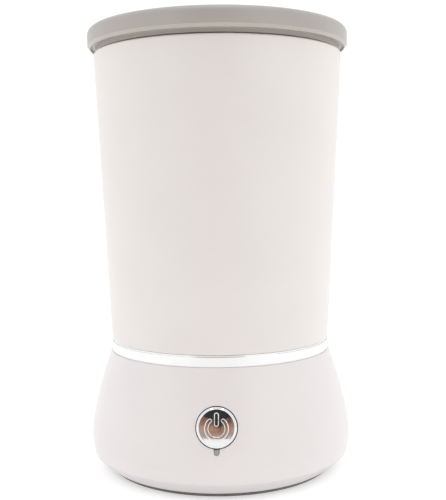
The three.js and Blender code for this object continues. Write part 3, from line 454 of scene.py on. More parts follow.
# %% Lid cap
LID_WALL = 2.2 * MM
LID_EDGE = 2.5 * MM
LIP_Z = BODY_TOP_Z + 1.75 * MM
SKIRT_Z = LIP_Z + 1.15 * MM
PLUG_FLANGE_R, PLUG_BOTTOM_Z, PLUG_TOP_Z = ring_size("lid_plug")
GASKET_R, GASKET_LOW_Z, GASKET_TOP_Z = ring_size("lid_gasket")
PLUG_R = GASKET_R - 1.2 * MM
RIB_R = PLUG_R - 2.5 * MM
RIB_IN_R = RIB_R - 1.8 * MM
SKIRT_IN_R = POT_R - 0.3 * MM
SKIRT_LOW_Z = BODY_TOP_Z + 0.35 * MM
LEDGE_UNDER_Z = LIP_Z + 0.9 * MM
under = LID_TOP_Z - LID_WALL
lid_outline = rounded([
    (0, under),
    (RIB_IN_R, under, 0.5 * MM),
    (RIB_IN_R, LID_RIB_Z, 0.4 * MM),
    (RIB_R, LID_RIB_Z, 0.4 * MM),
    (RIB_R, under, 0.5 * MM),
    (LID_R - LID_WALL - 1 * MM, under, 0.5 * MM),
    (SKIRT_IN_R, SKIRT_Z + 0.6 * MM, 0.3 * MM),
    (SKIRT_IN_R, SKIRT_LOW_Z, 0.15 * MM),
    (POT_R + 0.15 * MM, SKIRT_LOW_Z, 0.15 * MM),
    (LID_R - 3.2 * MM, LEDGE_UNDER_Z, 0.3 * MM),
    (LID_R - 1.5 * MM, LEDGE_UNDER_Z, 0.3 * MM),
    (LID_R - 1.3 * MM, LIP_Z, 0.15 * MM),
    (LID_R - 0.9 * MM, LIP_Z, 0.15 * MM),
    (LID_R - 0.25 * MM, SKIRT_Z - 0.1 * MM, 0.1 * MM),
    (LID_R, SKIRT_Z, 0.15 * MM),
    (LID_R, LID_TOP_Z, LID_EDGE),
    (0, LID_TOP_Z),
], closed=False, arc_steps=10)
lid_cap = revolve("lid_cap_moulding", lid_outline, columns=256)
stands_for(lid_cap, "lid", "grey_lid", "lid_cap")

# %% [markdown]
# The plug is the cup under the cap that goes into the pot. Its groove holds a silicone gasket
# with two thin lips, which bend against the steel when the lid is pressed on.

# %% Lid plug and gasket
GROOVE_R = PLUG_R - 0.9 * MM
PLUG_IN_R = PLUG_R - 2.2 * MM
PLUG_FLANGE_Z = PLUG_TOP_Z - 1.8 * MM
PLUG_FLOOR_Z = PLUG_BOTTOM_Z + 2 * MM
GROOVE_LOW_Z = GASKET_LOW_Z - 0.3 * MM
GROOVE_TOP_Z = GASKET_TOP_Z + 0.3 * MM
plug_outline = rounded([
    (0, PLUG_BOTTOM_Z),
    (PLUG_R, PLUG_BOTTOM_Z, 1.5 * MM),
    (PLUG_R, GROOVE_LOW_Z, 0.2 * MM),
    (GROOVE_R, GROOVE_LOW_Z, 0.15 * MM),
    (GROOVE_R, GROOVE_TOP_Z, 0.15 * MM),
    (PLUG_R, GROOVE_TOP_Z, 0.2 * MM),
    (PLUG_R, PLUG_FLANGE_Z, 0.3 * MM),
    (PLUG_FLANGE_R, PLUG_FLANGE_Z, 0.4 * MM),
    (PLUG_FLANGE_R, PLUG_TOP_Z, 0.4 * MM),
    (PLUG_IN_R, PLUG_TOP_Z, 0.4 * MM),
    (PLUG_IN_R, PLUG_FLOOR_Z, 1 * MM),
    (0, PLUG_FLOOR_Z),
], closed=False)
stands_for(revolve("lid_plug_cup", plug_outline, 200), "lid", "grey_lid", "lid_plug")

gasket_root = GROOVE_R + 0.3 * MM
gasket_waist = GASKET_R - 0.7 * MM
gasket_middle = (GASKET_LOW_Z + GASKET_TOP_Z) / 2
gasket_outline = rounded([
    (gasket_root, GASKET_LOW_Z, 0.2 * MM),
    (gasket_waist, GASKET_LOW_Z, 0.3 * MM),
    (GASKET_R, GASKET_LOW_Z + 0.5 * MM, 0.2 * MM),
    (GASKET_R - 0.8 * MM, gasket_middle, 0.2 * MM),
    (GASKET_R, GASKET_TOP_Z - 0.5 * MM, 0.2 * MM),
    (gasket_waist, GASKET_TOP_Z, 0.3 * MM),
    (gasket_root, GASKET_TOP_Z, 0.2 * MM),
])
stands_for(revolve("lid_gasket_ring", gasket_outline, 200), "lid", "seal_silicone", "lid_gasket")

# %% [markdown]
# The pot is deep drawn from one sheet: a flat bottom, a soft corner, a wall that widens a
# little, a step where the lid's plug sits, and a rim rolled outwards into a bead. Outside
# and inside follow each other one sheet apart.

# %% Pot
SHEET = 0.8 * MM
BEAD = 1.1 * MM
BEAD_R = POT_R - 0.7 * MM
STEP_Z = BODY_TOP_Z - 12 * MM
BOTTOM_R = 37 * MM
WALL_R = 40 * MM
UPPER_R = POT_R - BEAD - 2 * MM
bead_low = BODY_TOP_Z + 0.06 * MM  # the rolled rim rests on the body's edge
pot_outline = rounded([
    (0, POT_BOTTOM_Z),
    (BOTTOM_R, POT_BOTTOM_Z, 5 * MM),
    (WALL_R, STEP_Z, 2.2 * MM),
    (UPPER_R, STEP_Z + 2.6 * MM, 2 * MM),
    (UPPER_R + 0.4 * MM, bead_low, 0.4 * MM),
    (BEAD_R, bead_low, BEAD),
    (BEAD_R, POT_TOP_Z, BEAD),
    (UPPER_R + 0.4 * MM - SHEET, POT_TOP_Z, BEAD),
    (UPPER_R - SHEET, STEP_Z + 3 * MM, 1.6 * MM),
    (WALL_R - SHEET, STEP_Z + SHEET * 0.6, 2.4 * MM),
    (BOTTOM_R - SHEET, POT_BOTTOM_Z + SHEET, 4.2 * MM),
    (0, POT_BOTTOM_Z + SHEET),
], closed=False, arc_steps=8)
stands_for(revolve("pot_drawn_steel", pot_outline, 256), "housing", "pot_steel",
           "inner_pot", "pot_bottom")

# %% [markdown]
# The body is a plain cone with a neck that plugs into the base. The seam above the trim ring
# is a real gap: the cone's lower edge is rounded and stands a little clear of the ring.

# %% Body shell
WAIST_R = RING_R - 0.1 * MM
WALL = 2.2 * MM
LEDGE_Z = NECK_Z + 4.9 * MM
NECK_R = WAIST_R - 2.3 * MM
body_outline = rounded([
    (NECK_R - WALL, NECK_Z, 0.3 * MM),
    (NECK_R, NECK_Z, 0.3 * MM),
    (NECK_R, LEDGE_Z, 0.2 * MM),
    (WAIST_R, LEDGE_Z, 0.35 * MM),
    (BODY_R, BODY_TOP_Z, 1.5 * MM),
    (BODY_R - WALL + 0.4 * MM, BODY_TOP_Z, 0.4 * MM),
    (BODY_R - WALL, BODY_TOP_Z - 1 * MM, 0.5 * MM),
    (WAIST_R - WALL, LEDGE_Z + WALL, 0.8 * MM),
    (NECK_R - WALL, LEDGE_Z + WALL, 0.3 * MM),
], arc_steps=8)
stands_for(revolve("body_cone", body_outline, 256), "housing", "white_shell", "body_shell")

# %% [markdown]
# The trim ring is a polished band. A thin tongue above and below it runs back into the two
# seams, so a seam shows as a fine line and not as a slot.

# %% Trim ring
ring_in = NECK_R + 0.3 * MM
low_tongue_r, top_tongue_r = RING_R - 0.12 * MM, RING_R - 0.45 * MM
tongue_low, tongue_top = RING_LOW_Z - 0.25 * MM, RING_TOP_Z + 0.5 * MM
ring_outline = rounded([
    (ring_in, tongue_low, 0.1 * MM),
    (low_tongue_r, tongue_low, 0.05 * MM),
    (low_tongue_r, RING_LOW_Z, 0.05 * MM),
    (RING_R, RING_LOW_Z, 0.15 * MM),
    (RING_R, RING_TOP_Z, 0.15 * MM),
    (top_tongue_r, RING_TOP_Z, 0.05 * MM),
    (top_tongue_r, tongue_top, 0.05 * MM),
    (ring_in, tongue_top, 0.1 * MM),
], hold=0.1 * MM)
stands_for(revolve("trim_ring_polished", ring_outline, 256), "housing", "chrome_trim", "trim_ring")

# %% Foot ring
foot_in = FOOT_R - 3.5 * MM
foot_outline = rounded([
    (foot_in, FLOOR_Z, 0.5 * MM),
    (FOOT_R, FLOOR_Z, 0.5 * MM),
    (FOOT_R, FOOT_TOP_Z, 0.2 * MM),
    (foot_in, FOOT_TOP_Z, 0.2 * MM),
])
stands_for(revolve("foot_ring_rubber", foot_outline, 256), "housing", "foot_rubber", "foot_ring")

# %% [markdown]
# The base flares out from the waist and turns in again at a chamfer. Its side is a Bezier
# curve. The button needs the wall's radius at any height, so the curve is sampled once and
# read back by height.

# %% Outline of the base's side
BASE_NECK_R = WAIST_R + 0.4 * MM
WIDE_Z = 12 * MM
CREASE_R = BASE_R - 1.1 * MM
CREASE_ROUND = 1.1 * MM
EDGE_R = CREASE_R - 5.1 * MM
pull = np.array([
    (BASE_R, WIDE_Z),
    (BASE_R, 2 * WIDE_Z),
    (BASE_NECK_R + 0.353 * (BASE_R - BASE_NECK_R), BASE_TOP_Z - 9 * MM),
    (BASE_NECK_R, BASE_TOP_Z),
])
t = np.linspace(0, 1, 400)[:, None]
side_curve = (1 - t) ** 3 * pull[0] + 3 * (1 - t) ** 2 * t * pull[1]
side_curve += 3 * (1 - t) * t ** 2 * pull[2] + t ** 3 * pull[3]
low_corner = rounded([(EDGE_R, BASE_FOOT_Z), (CREASE_R + 0.1 * MM, CREASE_Z + 0.1 * MM, CREASE_ROUND),
                      (BASE_R, WIDE_Z)], closed=False, arc_steps=12)
side_curve = np.vstack([low_corner[:-1], side_curve])


def wall_radius(z, depth=0.0):
    """Radius of the base's outside at a height, less a depth."""
    return np.interp(z, side_curve[:, 1], side_curve[:, 0]) - depth


# %% [markdown]
# The button sits in a keyhole: a round hole with a small notch under it for the light. The
# wall is curved two ways, so the hole's edge is a curve in space. Each of its points is
# found by going along the button's axis until the wall's surface is met.

# %% The button's own axes
press = next(j for j in frame["joints"] if j["name"] == "button_press")
out_of_wall = -np.array(press["axis"], float)
across = np.array([1.0, 0, 0])
up_wall = np.cross(out_of_wall, across)
BUTTON_Z = 27.9 * MM
button_centre = np.array([0, -float(wall_radius(BUTTON_Z)), BUTTON_Z])
HOLE_R = 7.75 * MM


def from_wall(x, y, depth):
    """Points given across, up along and out of the wall at the button, in the object's frame."""
    return button_centre + np.multiply.outer(x, across) + np.multiply.outer(y, up_wall) \
        + np.multiply.outer(depth, out_of_wall)


def on_wall(x, y, inset=0.0):
    """Distance along the button's axis at which (x, y) meets the wall, by halving a bracket
    forty times: a point is outside the wall while its radius is larger than the wall's."""
    low, high = np.full_like(x, -12 * MM), np.full_like(x, 6 * MM)
    for _ in range(40):
        middle = (low + high) / 2
        p = from_wall(x, y, 0 * x) + middle[..., None] * out_of_wall
        outside = np.hypot(p[..., 0], p[..., 1]) > wall_radius(p[..., 2], inset)
        high = np.where(outside, middle, high)
        low = np.where(outside, low, middle)
    return (low + high) / 2


print("button centre", button_centre / MM, "axis", out_of_wall)

# %% [markdown]
# The base is one closed skin. Outside and inside are grids round the axis with the same
# columns. Round the button a rectangle of both grids is left out and filled by rings of
# vertices that go over from the rectangle to the keyhole, so the mesh follows the hole's
# edge exactly and needs no boolean.

# %% Base shell: the two grids
COLUMNS = 480
HALF_COLUMNS = 20
STEP = 0.84 * MM
rows_z = np.arange(9.0 * MM, BASE_TOP_Z - 1.2 * MM, STEP)
inner_top = BASE_TOP_Z - 6.0 * MM
inner_z = rows_z[rows_z < inner_top][::-1]
SHELF_TOP_Z = BASE_TOP_Z - 3.0 * MM
SHELF_IN_R = NECK_R - 10 * MM
COLLAR_R = NECK_R + 0.3 * MM
BOTTOM_IN_R = EDGE_R - 0.5 * MM
lower = rounded([(BOTTOM_IN_R, BASE_FOOT_Z), (EDGE_R, BASE_FOOT_Z, 0.3 * MM),
                 (CREASE_R + 0.1 * MM, CREASE_Z + 0.1 * MM, CREASE_ROUND),
                 (float(wall_radius(rows_z[0])), rows_z[0])], closed=False, arc_steps=12)
outer = np.stack([wall_radius(rows_z), rows_z], 1)
shelf_low_z = SHELF_TOP_Z - WALL
upper = rounded([
    (float(wall_radius(rows_z[-1])), rows_z[-1]),
    (BASE_NECK_R, BASE_TOP_Z, 0.5 * MM),
    (COLLAR_R, BASE_TOP_Z, 0.2 * MM),
    (COLLAR_R, SHELF_TOP_Z, 0.3 * MM),
    (SHELF_IN_R, SHELF_TOP_Z, 0.3 * MM),
    (SHELF_IN_R, shelf_low_z, 0.3 * MM),
    (float(wall_radius(inner_top, WALL)) - 1.5 * MM, shelf_low_z, 0.8 * MM),
    (float(wall_radius(inner_z[0], WALL)), inner_z[0]),
], closed=False)
inner = np.stack([wall_radius(inner_z, WALL), inner_z], 1)
closing = rounded([
    (float(wall_radius(inner_z[-1], WALL)), inner_z[-1]),
    (BOTTOM_IN_R + 2 * MM, 6.0 * MM, 1.5 * MM),
    (BOTTOM_IN_R, 5.0 * MM, 0.5 * MM),
    (BOTTOM_IN_R, BASE_FOOT_Z),
], closed=False)
loop = np.vstack([lower[:-1], outer, upper[1:-1], inner, closing[1:-1]])
outer_start = len(lower) - 1
inner_start = outer_start + len(outer) + len(upper) - 2
turn = (np.arange(COLUMNS) - COLUMNS // 2) * 2 * np.pi / COLUMNS
r, z = loop[:, :1], loop[:, 1:]
base_points = np.stack([r * np.sin(turn), -r * np.cos(turn), z + 0 * turn], -1)

# %% Base shell: the window round the button
WINDOW_HALF = 12.5 * MM
low_row = int(np.searchsorted(rows_z, BUTTON_Z - WINDOW_HALF))
high_row = int(np.searchsorted(rows_z, BUTTON_Z + WINDOW_HALF))
left, right = COLUMNS // 2 - HALF_COLUMNS, COLUMNS // 2 + HALF_COLUMNS
tall, wide = high_row - low_row, right - left
frame_rows = np.concatenate([
    np.zeros(wide, int), np.arange(tall), np.full(wide, tall), np.arange(tall, 0, -1)])
frame_columns = np.concatenate([
    np.arange(wide), np.full(tall, wide), np.arange(wide, 0, -1), np.zeros(tall, int)])
window_z = rows_z[low_row + frame_rows]
window_turn = turn[left + frame_columns]
outer_frame = (outer_start + low_row + frame_rows) * COLUMNS + left + frame_columns
inner_row = inner_start + (len(inner_z) - 1 - low_row) - frame_rows
inner_frame = inner_row * COLUMNS + left + frame_columns

# %% [markdown]
# The keyhole's edge: every vertex of the window's frame is given a point of the edge in the
# same direction. The few that look at the notch are spread evenly along its three sides.

# %% Base shell: the keyhole
NOTCH_TOP, NOTCH_LOW = 1.12 * MM, 0.88 * MM
NOTCH_DEPTH = 2.4 * MM
NOTCH_CORNER = 0.4 * MM
NOTCH_VIEW = 0.17  # radians to each side of straight down
SLANT = 1.03  # along the slanting wall a height is this much longer
frame_x = wall_radius(BUTTON_Z) * window_turn
frame_y = (window_z - BUTTON_Z) * SLANT
heading = np.arctan2(frame_y, frame_x)
edge = HOLE_R * np.stack([np.cos(heading), np.sin(heading)], 1)
at_notch = np.where(np.abs(heading + np.pi / 2) < NOTCH_VIEW)[0]
notch = np.array([
    (-NOTCH_TOP, -math.sqrt(HOLE_R ** 2 - NOTCH_TOP ** 2)),
    (-NOTCH_LOW, -HOLE_R - NOTCH_DEPTH + NOTCH_CORNER),
    (-NOTCH_LOW + NOTCH_CORNER, -HOLE_R - NOTCH_DEPTH),
    (NOTCH_LOW - NOTCH_CORNER, -HOLE_R - NOTCH_DEPTH),
    (NOTCH_LOW, -HOLE_R - NOTCH_DEPTH + NOTCH_CORNER),
    (NOTCH_TOP, -math.sqrt(HOLE_R ** 2 - NOTCH_TOP ** 2)),
])
run = np.concatenate([[0], np.cumsum(np.linalg.norm(np.diff(notch, axis=0), axis=1))])
spread = np.linspace(0, run[-1], len(at_notch))
edge[at_notch, 0] = np.interp(spread, run, notch[:, 0])
edge[at_notch, 1] = np.interp(spread, run, notch[:, 1])
along = np.roll(edge, -1, 0) - np.roll(edge, 1, 0)
away = np.stack([along[:, 1], -along[:, 0]], 1) / np.linalg.norm(along, axis=1)[:, None]
print(len(edge), "points on the keyhole,", len(at_notch), "of them on the notch")


# %% Base shell: filling the window and joining it all
EDGE_ROUND = 0.25 * MM


def window_rings(inset, steps=14):
    """Rings from the window's frame in to the keyhole, on the wall's surface: turn and height
    go over evenly, closer together near the hole. The first ring is the frame itself."""
    start = edge + away * EDGE_ROUND
    p = from_wall(start[:, 0], start[:, 1], on_wall(start[:, 0], start[:, 1], inset))
    edge_turn = np.arctan2(p[:, 0], -p[:, 1])
    share = (1 - np.linspace(0, 1, steps + 1)[1:] ** 0.8)[:, None]
    ring_turn = share * window_turn + (1 - share) * edge_turn
    ring_z = share * window_z + (1 - share) * p[:, 2]
    radius = wall_radius(ring_z, inset)
    return np.stack([radius * np.sin(ring_turn), -radius * np.cos(ring_turn), ring_z], -1)


outer_rings = window_rings(0.0)
inner_rings = window_rings(WALL)
bend = np.linspace(0, np.pi / 2, 5)[1:, None]
lip_x = edge[:, 0] + away[:, 0] * EDGE_ROUND * (1 - np.sin(bend))
lip_y = edge[:, 1] + away[:, 1] * EDGE_ROUND * (1 - np.sin(bend))
lip = from_wall(lip_x, lip_y, on_wall(lip_x, lip_y) - EDGE_ROUND * (1 - np.cos(bend)))
deep = from_wall(edge[:, 0], edge[:, 1], on_wall(edge[:, 0], edge[:, 1], WALL))

edge_count = len(edge)
sheets = [base_points.reshape(-1, 3), outer_rings.reshape(-1, 3), lip.reshape(-1, 3),
          deep, inner_rings[::-1].reshape(-1, 3)]
starts = np.cumsum([0] + [len(s) for s in sheets])
index = np.arange(starts[-1])
belt = np.vstack([outer_frame, index[starts[1]:].reshape(-1, edge_count), inner_frame])
belt = np.hstack([belt, belt[:, :1]])
belt_faces = np.stack([belt[:-1, :-1], belt[:-1, 1:], belt[1:, 1:], belt[1:, :-1]], -1).reshape(-1, 4)
grid = grid_faces(len(loop), COLUMNS, wrap_rows=True)
row, column = np.divmod(grid[:, 0], COLUMNS)
in_columns = (column >= left) & (column < right)
first_inner = inner_start + len(inner_z) - 1 - high_row
in_outer = (row >= outer_start + low_row) & (row < outer_start + high_row)
in_inner = (row >= first_inner) & (row < first_inner + tall)
grid = grid[~(in_columns & (in_outer | in_inner))]
base = to_mesh("base_flared", np.vstack(sheets), [grid, belt_faces])
stands_for(base, "housing", "white_shell", "base_shell")

# %% [markdown]
# The button's cap is plated plastic. Its face is a shallow dome inside a bright bevel, and
# the power symbol stands up from it: a ring open at the top and a bar. The symbol is a height
# added to the dome, worked out from the distance to the middle line of each stroke, which
# gives it flat tops and sloping sides.

# %% Power button
CAP_R = HOLE_R - 0.3 * MM
FACE_R = CAP_R - 0.9 * MM
DOME_TOP, DOME_EDGE = 1.2 * MM, 0.6 * MM
SYMBOL_R, SYMBOL_DROP = 3.7 * MM, 0.3 * MM
SYMBOL_GAP = math.radians(41)
STROKE, SLOPE, RELIEF = 0.76 * MM, 0.28 * MM, 0.26 * MM
BAR_LOW, BAR_TOP = 1.25 * MM, 4.55 * MM


def symbol_height(x, y):
    """Height of the power symbol at (x, y): full inside the stroke, sloping over its edge."""
    ring_y = y + SYMBOL_DROP
    end_x, end_y = SYMBOL_R * math.sin(SYMBOL_GAP), SYMBOL_R * math.cos(SYMBOL_GAP)
    to_ring = np.abs(np.hypot(x, ring_y) - SYMBOL_R)
    to_end = np.hypot(np.abs(x) - end_x, ring_y - end_y)
    to_stroke = np.where(np.abs(np.arctan2(x, ring_y)) > SYMBOL_GAP, to_ring, to_end)
    to_bar = np.hypot(x, y - np.clip(y, BAR_LOW, BAR_TOP)) - 0.1 * MM
    nearest = np.minimum(to_stroke, to_bar)
    share = np.clip((STROKE - nearest) / SLOPE, 0, 1)
    return RELIEF * share * share * (3 - 2 * share)


STEM_R, STEM_END = 2.0 * MM, -6.2 * MM
FLANGE_BACK, FLANGE_FRONT = -5.0 * MM, -3.8 * MM
cap_low, cap_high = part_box("power_button")
FLANGE_R = (cap_high.x - cap_low.x) / 2
face = np.linspace(0, FACE_R, 130)[::-1]
dome = np.stack([face, DOME_TOP - (DOME_TOP - DOME_EDGE) * (face / FACE_R) ** 2], 1)
rim = rounded([
    (0, STEM_END),
    (STEM_R, STEM_END, 0.3 * MM),
    (STEM_R, FLANGE_BACK, 0.3 * MM),
    (FLANGE_R, FLANGE_BACK, 0.2 * MM),
    (FLANGE_R, FLANGE_FRONT, 0.2 * MM),
    (CAP_R, FLANGE_FRONT, 0.2 * MM),
    (CAP_R, -0.2 * MM, 0.25 * MM),
    (FACE_R, DOME_EDGE, 0.2 * MM),
    (FACE_R - 0.5 * MM, DOME_EDGE + 0.02 * MM),
], closed=False)
cap_outline = np.vstack([rim[:-1], dome[dome[:, 0] < FACE_R - 0.5 * MM]])


def cap_in_wall(points):
    """Adds the symbol to the dome and stands the cap in its hole."""
    x, y, depth = points.T
    front = np.hypot(x, y) < FACE_R - 0.4 * MM
    depth = depth + np.where(front & (depth > 0), symbol_height(x, y), 0)
    flange_notch = (y < -HOLE_R + 0.1 * MM) & (np.abs(x) < 1.7 * MM) & (depth < -3 * MM)
    y = np.where(flange_notch, -HOLE_R + 0.1 * MM, y)
    return from_wall(x, y, 0 * x) + depth[:, None] * out_of_wall


button = revolve("power_button_cap", cap_outline, 420, shape=cap_in_wall)
stands_for(button, "button", "button_chrome", "power_button")

# %% [markdown]
# Behind the cap a coil spring stands on the key board. It shortens as the button goes in; here
#  it is built at the length of its CAD node.

# %% Button spring
SPRING_WIRE = 0.35 * MM
SPRING_TURNS = 3
spring_low, spring_high = (np.array(corner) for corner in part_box("button_spring"))
spring_size = spring_high - spring_low
tilt = math.asin(abs(out_of_wall[2]))
spring_long = (spring_size[1] - spring_size[0] * math.sin(tilt)) / math.cos(tilt)
spring_middle = float(((spring_low + spring_high) / 2 - button_centre) @ out_of_wall)
spring_rear = spring_middle - spring_long / 2
share = np.linspace(0, 1, SPRING_TURNS * 32 + 1)
angle = 2 * np.pi * SPRING_TURNS * share
coil_reach = spring_size[0] / 2 - SPRING_WIRE
coil = np.stack([coil_reach * np.cos(angle), coil_reach * np.sin(angle),
                 spring_rear + SPRING_WIRE + (spring_long - 2 * SPRING_WIRE) * share], 1)
spring = tube("button_return_spring", coil, SPRING_WIRE, 12, ring=False,
              shape=lambda p: from_wall(p[:, 0], p[:, 1], p[:, 2]))
stands_for(spring, "housing", "spring_steel", "button_spring")
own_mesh(spring)

# %% [markdown]
# Under the button a small wedge of frosted plastic brings the light of the indicator to the
# surface. It is a prism with a soft front edge, so each ring of it is the same outline,
# shrunk a little where the edge rounds off.

# %% Indicator lens
LENS_TOP, LENS_LOW = 1.0 * MM, 0.75 * MM
lens_top_y, lens_low_y = -HOLE_R - 0.1 * MM, -HOLE_R - 2.3 * MM
lens_middle = np.array([0, (lens_top_y + lens_low_y) / 2])
lens_outline = rounded([
    (-LENS_TOP, lens_top_y, 0.15 * MM), (-LENS_LOW, lens_low_y, 0.3 * MM),
    (LENS_LOW, lens_low_y, 0.3 * MM), (LENS_TOP, lens_top_y, 0.15 * MM),
], hold=0.1 * MM)
LENS_SHRINK = 0.25  # the share by which the front is smaller than the prism
LENS_LONG, LENS_SUNK, LENS_ROUND = 8, 0.45, 0.25  # in millimetres
shrink = np.concatenate([
    [0.01, 0.5, 1, 1], 1 - LENS_SHRINK * (1 - np.cos(bend[:, 0])), [0.5, 0.01]])[:, None]
lens_depth = np.concatenate([
    [-LENS_LONG, -LENS_LONG, -LENS_LONG, -LENS_SUNK],
    -LENS_SUNK + LENS_ROUND * np.sin(bend[:, 0]), [-0.2, -0.2]])[:, None] * MM
lens_x = lens_middle[0] + shrink * (lens_outline[:, 0] - lens_middle[0])
lens_y = lens_middle[1] + shrink * (lens_outline[:, 1] - lens_middle[1])
lens_front = on_wall(lens_x, lens_y)
lens_points = from_wall(lens_x, lens_y, lens_front * (lens_depth > -5 * MM) + lens_depth)
lens = to_mesh("indicator_light_pipe", lens_points.reshape(-1, 3),
               [grid_faces(len(shrink), len(lens_outline)),
                np.arange(len(lens_outline))[::-1][None],
                (len(shrink) - 1) * len(lens_outline) + np.arange(len(lens_outline))[None]])
stands_for(lens, "housing", "lens_clear", "indicator_lens")

# %% [markdown]
# The whisk is a small coil spring bent round into a ring and clipped round a hub that drops
# over the spindle. The coil is a tube along a helix whose own axis is a circle.

# %% Whisk
COIL_OUT_R, COIL_LOW_Z, COIL_TOP_Z = ring_size("whisk_coil")
WIRE = 0.42 * MM
WHISK_TURNS = 44
coil_r = (COIL_TOP_Z - COIL_LOW_Z) / 2 + 0.2 * MM - WIRE
coil_z = (COIL_LOW_Z + COIL_TOP_Z) / 2
ring_r = COIL_OUT_R - coil_r - WIRE
a = np.linspace(0, 2 * np.pi, WHISK_TURNS * 16, endpoint=False)
reach = ring_r + coil_r * np.cos(WHISK_TURNS * a)
helix = np.stack([reach * np.cos(a), reach * np.sin(a), coil_z + coil_r * np.sin(WHISK_TURNS * a)], 1)
stands_for(tube("whisk_spring_coil", helix, WIRE), "whisk", "spring_steel", "whisk_coil")

HUB_R, HUB_LOW_Z, HUB_TOP_Z = ring_size("whisk_hub")
SPINDLE_R = 2.3 * MM
GRIP_R = 4.5 * MM
socket_top = HUB_TOP_Z - 1.6 * MM
rim_top = HUB_LOW_Z + 4.2 * MM
hub_outline = rounded([
    (0, socket_top),
    (SPINDLE_R, socket_top, 0.3 * MM),
    (SPINDLE_R, HUB_LOW_Z, 0.3 * MM),
    (HUB_R, HUB_LOW_Z, 0.6 * MM),
    (HUB_R - 0.9 * MM, HUB_LOW_Z + 2.1 * MM, 1.5 * MM),
    (HUB_R, rim_top, 0.6 * MM),
    (GRIP_R, rim_top, 1.6 * MM),
    (GRIP_R, HUB_TOP_Z, 1.2 * MM),
    (0, HUB_TOP_Z),
], closed=False)
stands_for(revolve("whisk_hub_moulding", hub_outline, 96), "whisk", "dark_plastic", "whisk_hub")

# %% [markdown]
# Underneath, the round power socket is what someone sees on turning the frother over: a
# recess with a post in the middle, and bright contact rings deep inside.

# %% Power socket
SOCKET_R = 18.5 * MM
SOCKET_FLANGE_R, SOCKET_LOW_Z, SOCKET_TOP_Z = ring_size("inlet_connector_body")
recess_r = SOCKET_R - 2 * MM
recess_z = SOCKET_TOP_Z - 2 * MM
post_r = 8 * MM
pin_r = 3.5 * MM
post_end = SOCKET_LOW_Z + 2 * MM
flange_low = SOCKET_LOW_Z + 2.8 * MM
flange_top = SOCKET_LOW_Z + 4.8 * MM
socket_outline = rounded([
    (0, recess_z - 1.5 * MM),
    (pin_r, recess_z - 1.5 * MM, 0.3 * MM),
    (pin_r, post_end, 0.4 * MM),
    (post_r, post_end, 0.6 * MM),
    (post_r, recess_z, 0.5 * MM),
    (recess_r, recess_z, 0.5 * MM),
    (recess_r, SOCKET_LOW_Z, 0.6 * MM),
    (SOCKET_R, SOCKET_LOW_Z, 0.3 * MM),
    (SOCKET_R, flange_low, 0.1 * MM),
    (SOCKET_FLANGE_R, flange_low, 0.3 * MM),
    (SOCKET_FLANGE_R, flange_top, 0.3 * MM),
    (SOCKET_R, flange_top, 0.3 * MM),
    (SOCKET_R, SOCKET_TOP_Z, 0.6 * MM),
    (0, SOCKET_TOP_Z),
], closed=False)
stands_for(revolve("power_socket", socket_outline, 128), "housing", "dark_plastic", "inlet_connector_body")


def contact_ring(node, inner_r):
    """A thin brass ring with rounded edges, as high as its CAD node."""
    outer_r, low, high = ring_size(node)
    outline = rounded([(inner_r, low, 0.2 * MM), (outer_r, low, 0.2 * MM),
                       (outer_r, high, 0.2 * MM), (inner_r, high, 0.2 * MM)])
    stands_for(revolve(node + "_turned", outline, 96), "housing", "brass_contact", node)


contact_ring("inlet_centre_contact", 2.2 * MM)
contact_ring("inlet_live_ring", post_r + 0.3 * MM)
contact_ring("inlet_earth_ring", recess_r - 1.1 * MM)

# %% [markdown]
# The cover's screws have pan heads with a cross recess. As on the button, the recess is a
# height taken from the head, worked out from the distance to the arms' middle lines.

# %% Bottom screws
def screw_recess(x, y):
    """Depth of a cross recess: two arms, 0.7 mm wide, that slope down to the middle."""
    arm = np.minimum(np.maximum(np.abs(x) - 1.5 * MM, 0) + np.abs(y),
                     np.maximum(np.abs(y) - 1.5 * MM, 0) + np.abs(x))
    return 0.85 * MM * np.clip((0.5 * MM - arm) / (0.2 * MM), 0, 1)


SHANK_R = 1.3 * MM
HEAD_HIGH = 1.3 * MM
for number in (1, 2, 3):
    low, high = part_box(f"bottom_screw_{number}")
    middle_x, middle_y = (low.x + high.x) / 2, (low.y + high.y) / 2
    head_r = (high.x - low.x) / 2
    head = np.linspace(0, head_r * 0.8, 40)
    crown = np.stack([head, low.z + 0.12 * MM * (head / head_r) ** 2], 1)
    shank = rounded([
        (head_r * 0.8, crown[-1, 1]),
        (head_r, low.z + 0.6 * MM, 0.4 * MM),
        (head_r, low.z + HEAD_HIGH, 0.1 * MM),
        (SHANK_R, low.z + HEAD_HIGH, 0.2 * MM),
        (SHANK_R, high.z - 1 * MM, 0.3 * MM),
        (0, high.z),
    ], closed=False)

    def screw_shape(points, x0=middle_x, y0=middle_y, z0=low.z):
        """Cuts the recess into the head's face and stands the screw in its place."""
        x, y, z = points.T
        cut = np.where(z < z0 + 0.13 * MM, screw_recess(x, y), 0)
        return np.stack([x + x0, y + y0, z + cut], 1)

    screw_outline = np.vstack([crown, shank[1:]])
    turned = revolve(f"bottom_screw_{number}_pan_head", screw_outline, 120, shape=screw_shape)
    stands_for(turned, "housing", "screw_steel", f"bottom_screw_{number}")

# %% [markdown]
# The floor is plain and pale. The light is a white room with a large soft lamp above and one
# at each side. Polished metal shows what stands round it, so a coloured board hangs behind
# the camera, out of its sight, where a person would stand: dark on top, warm at both sides
# and pale below.

# %% Floor
FLOOR_REACH = 3.0
floor = to_mesh("floor", np.array([(-1, -1, 0), (1, -1, 0), (1, 1, 0), (-1, 1, 0)]) * FLOOR_REACH,
                [np.array([[0, 1, 2, 3]])])
floor_finish = plastic("floor_paper", (0.6, 0.6, 0.6), 0.8, grain=0.8 * MM, cloud=0.002,
                       Emission_Color=(1, 1, 1, 1), Emission_Strength=0.5)
floor.data.materials.append(floor_finish)

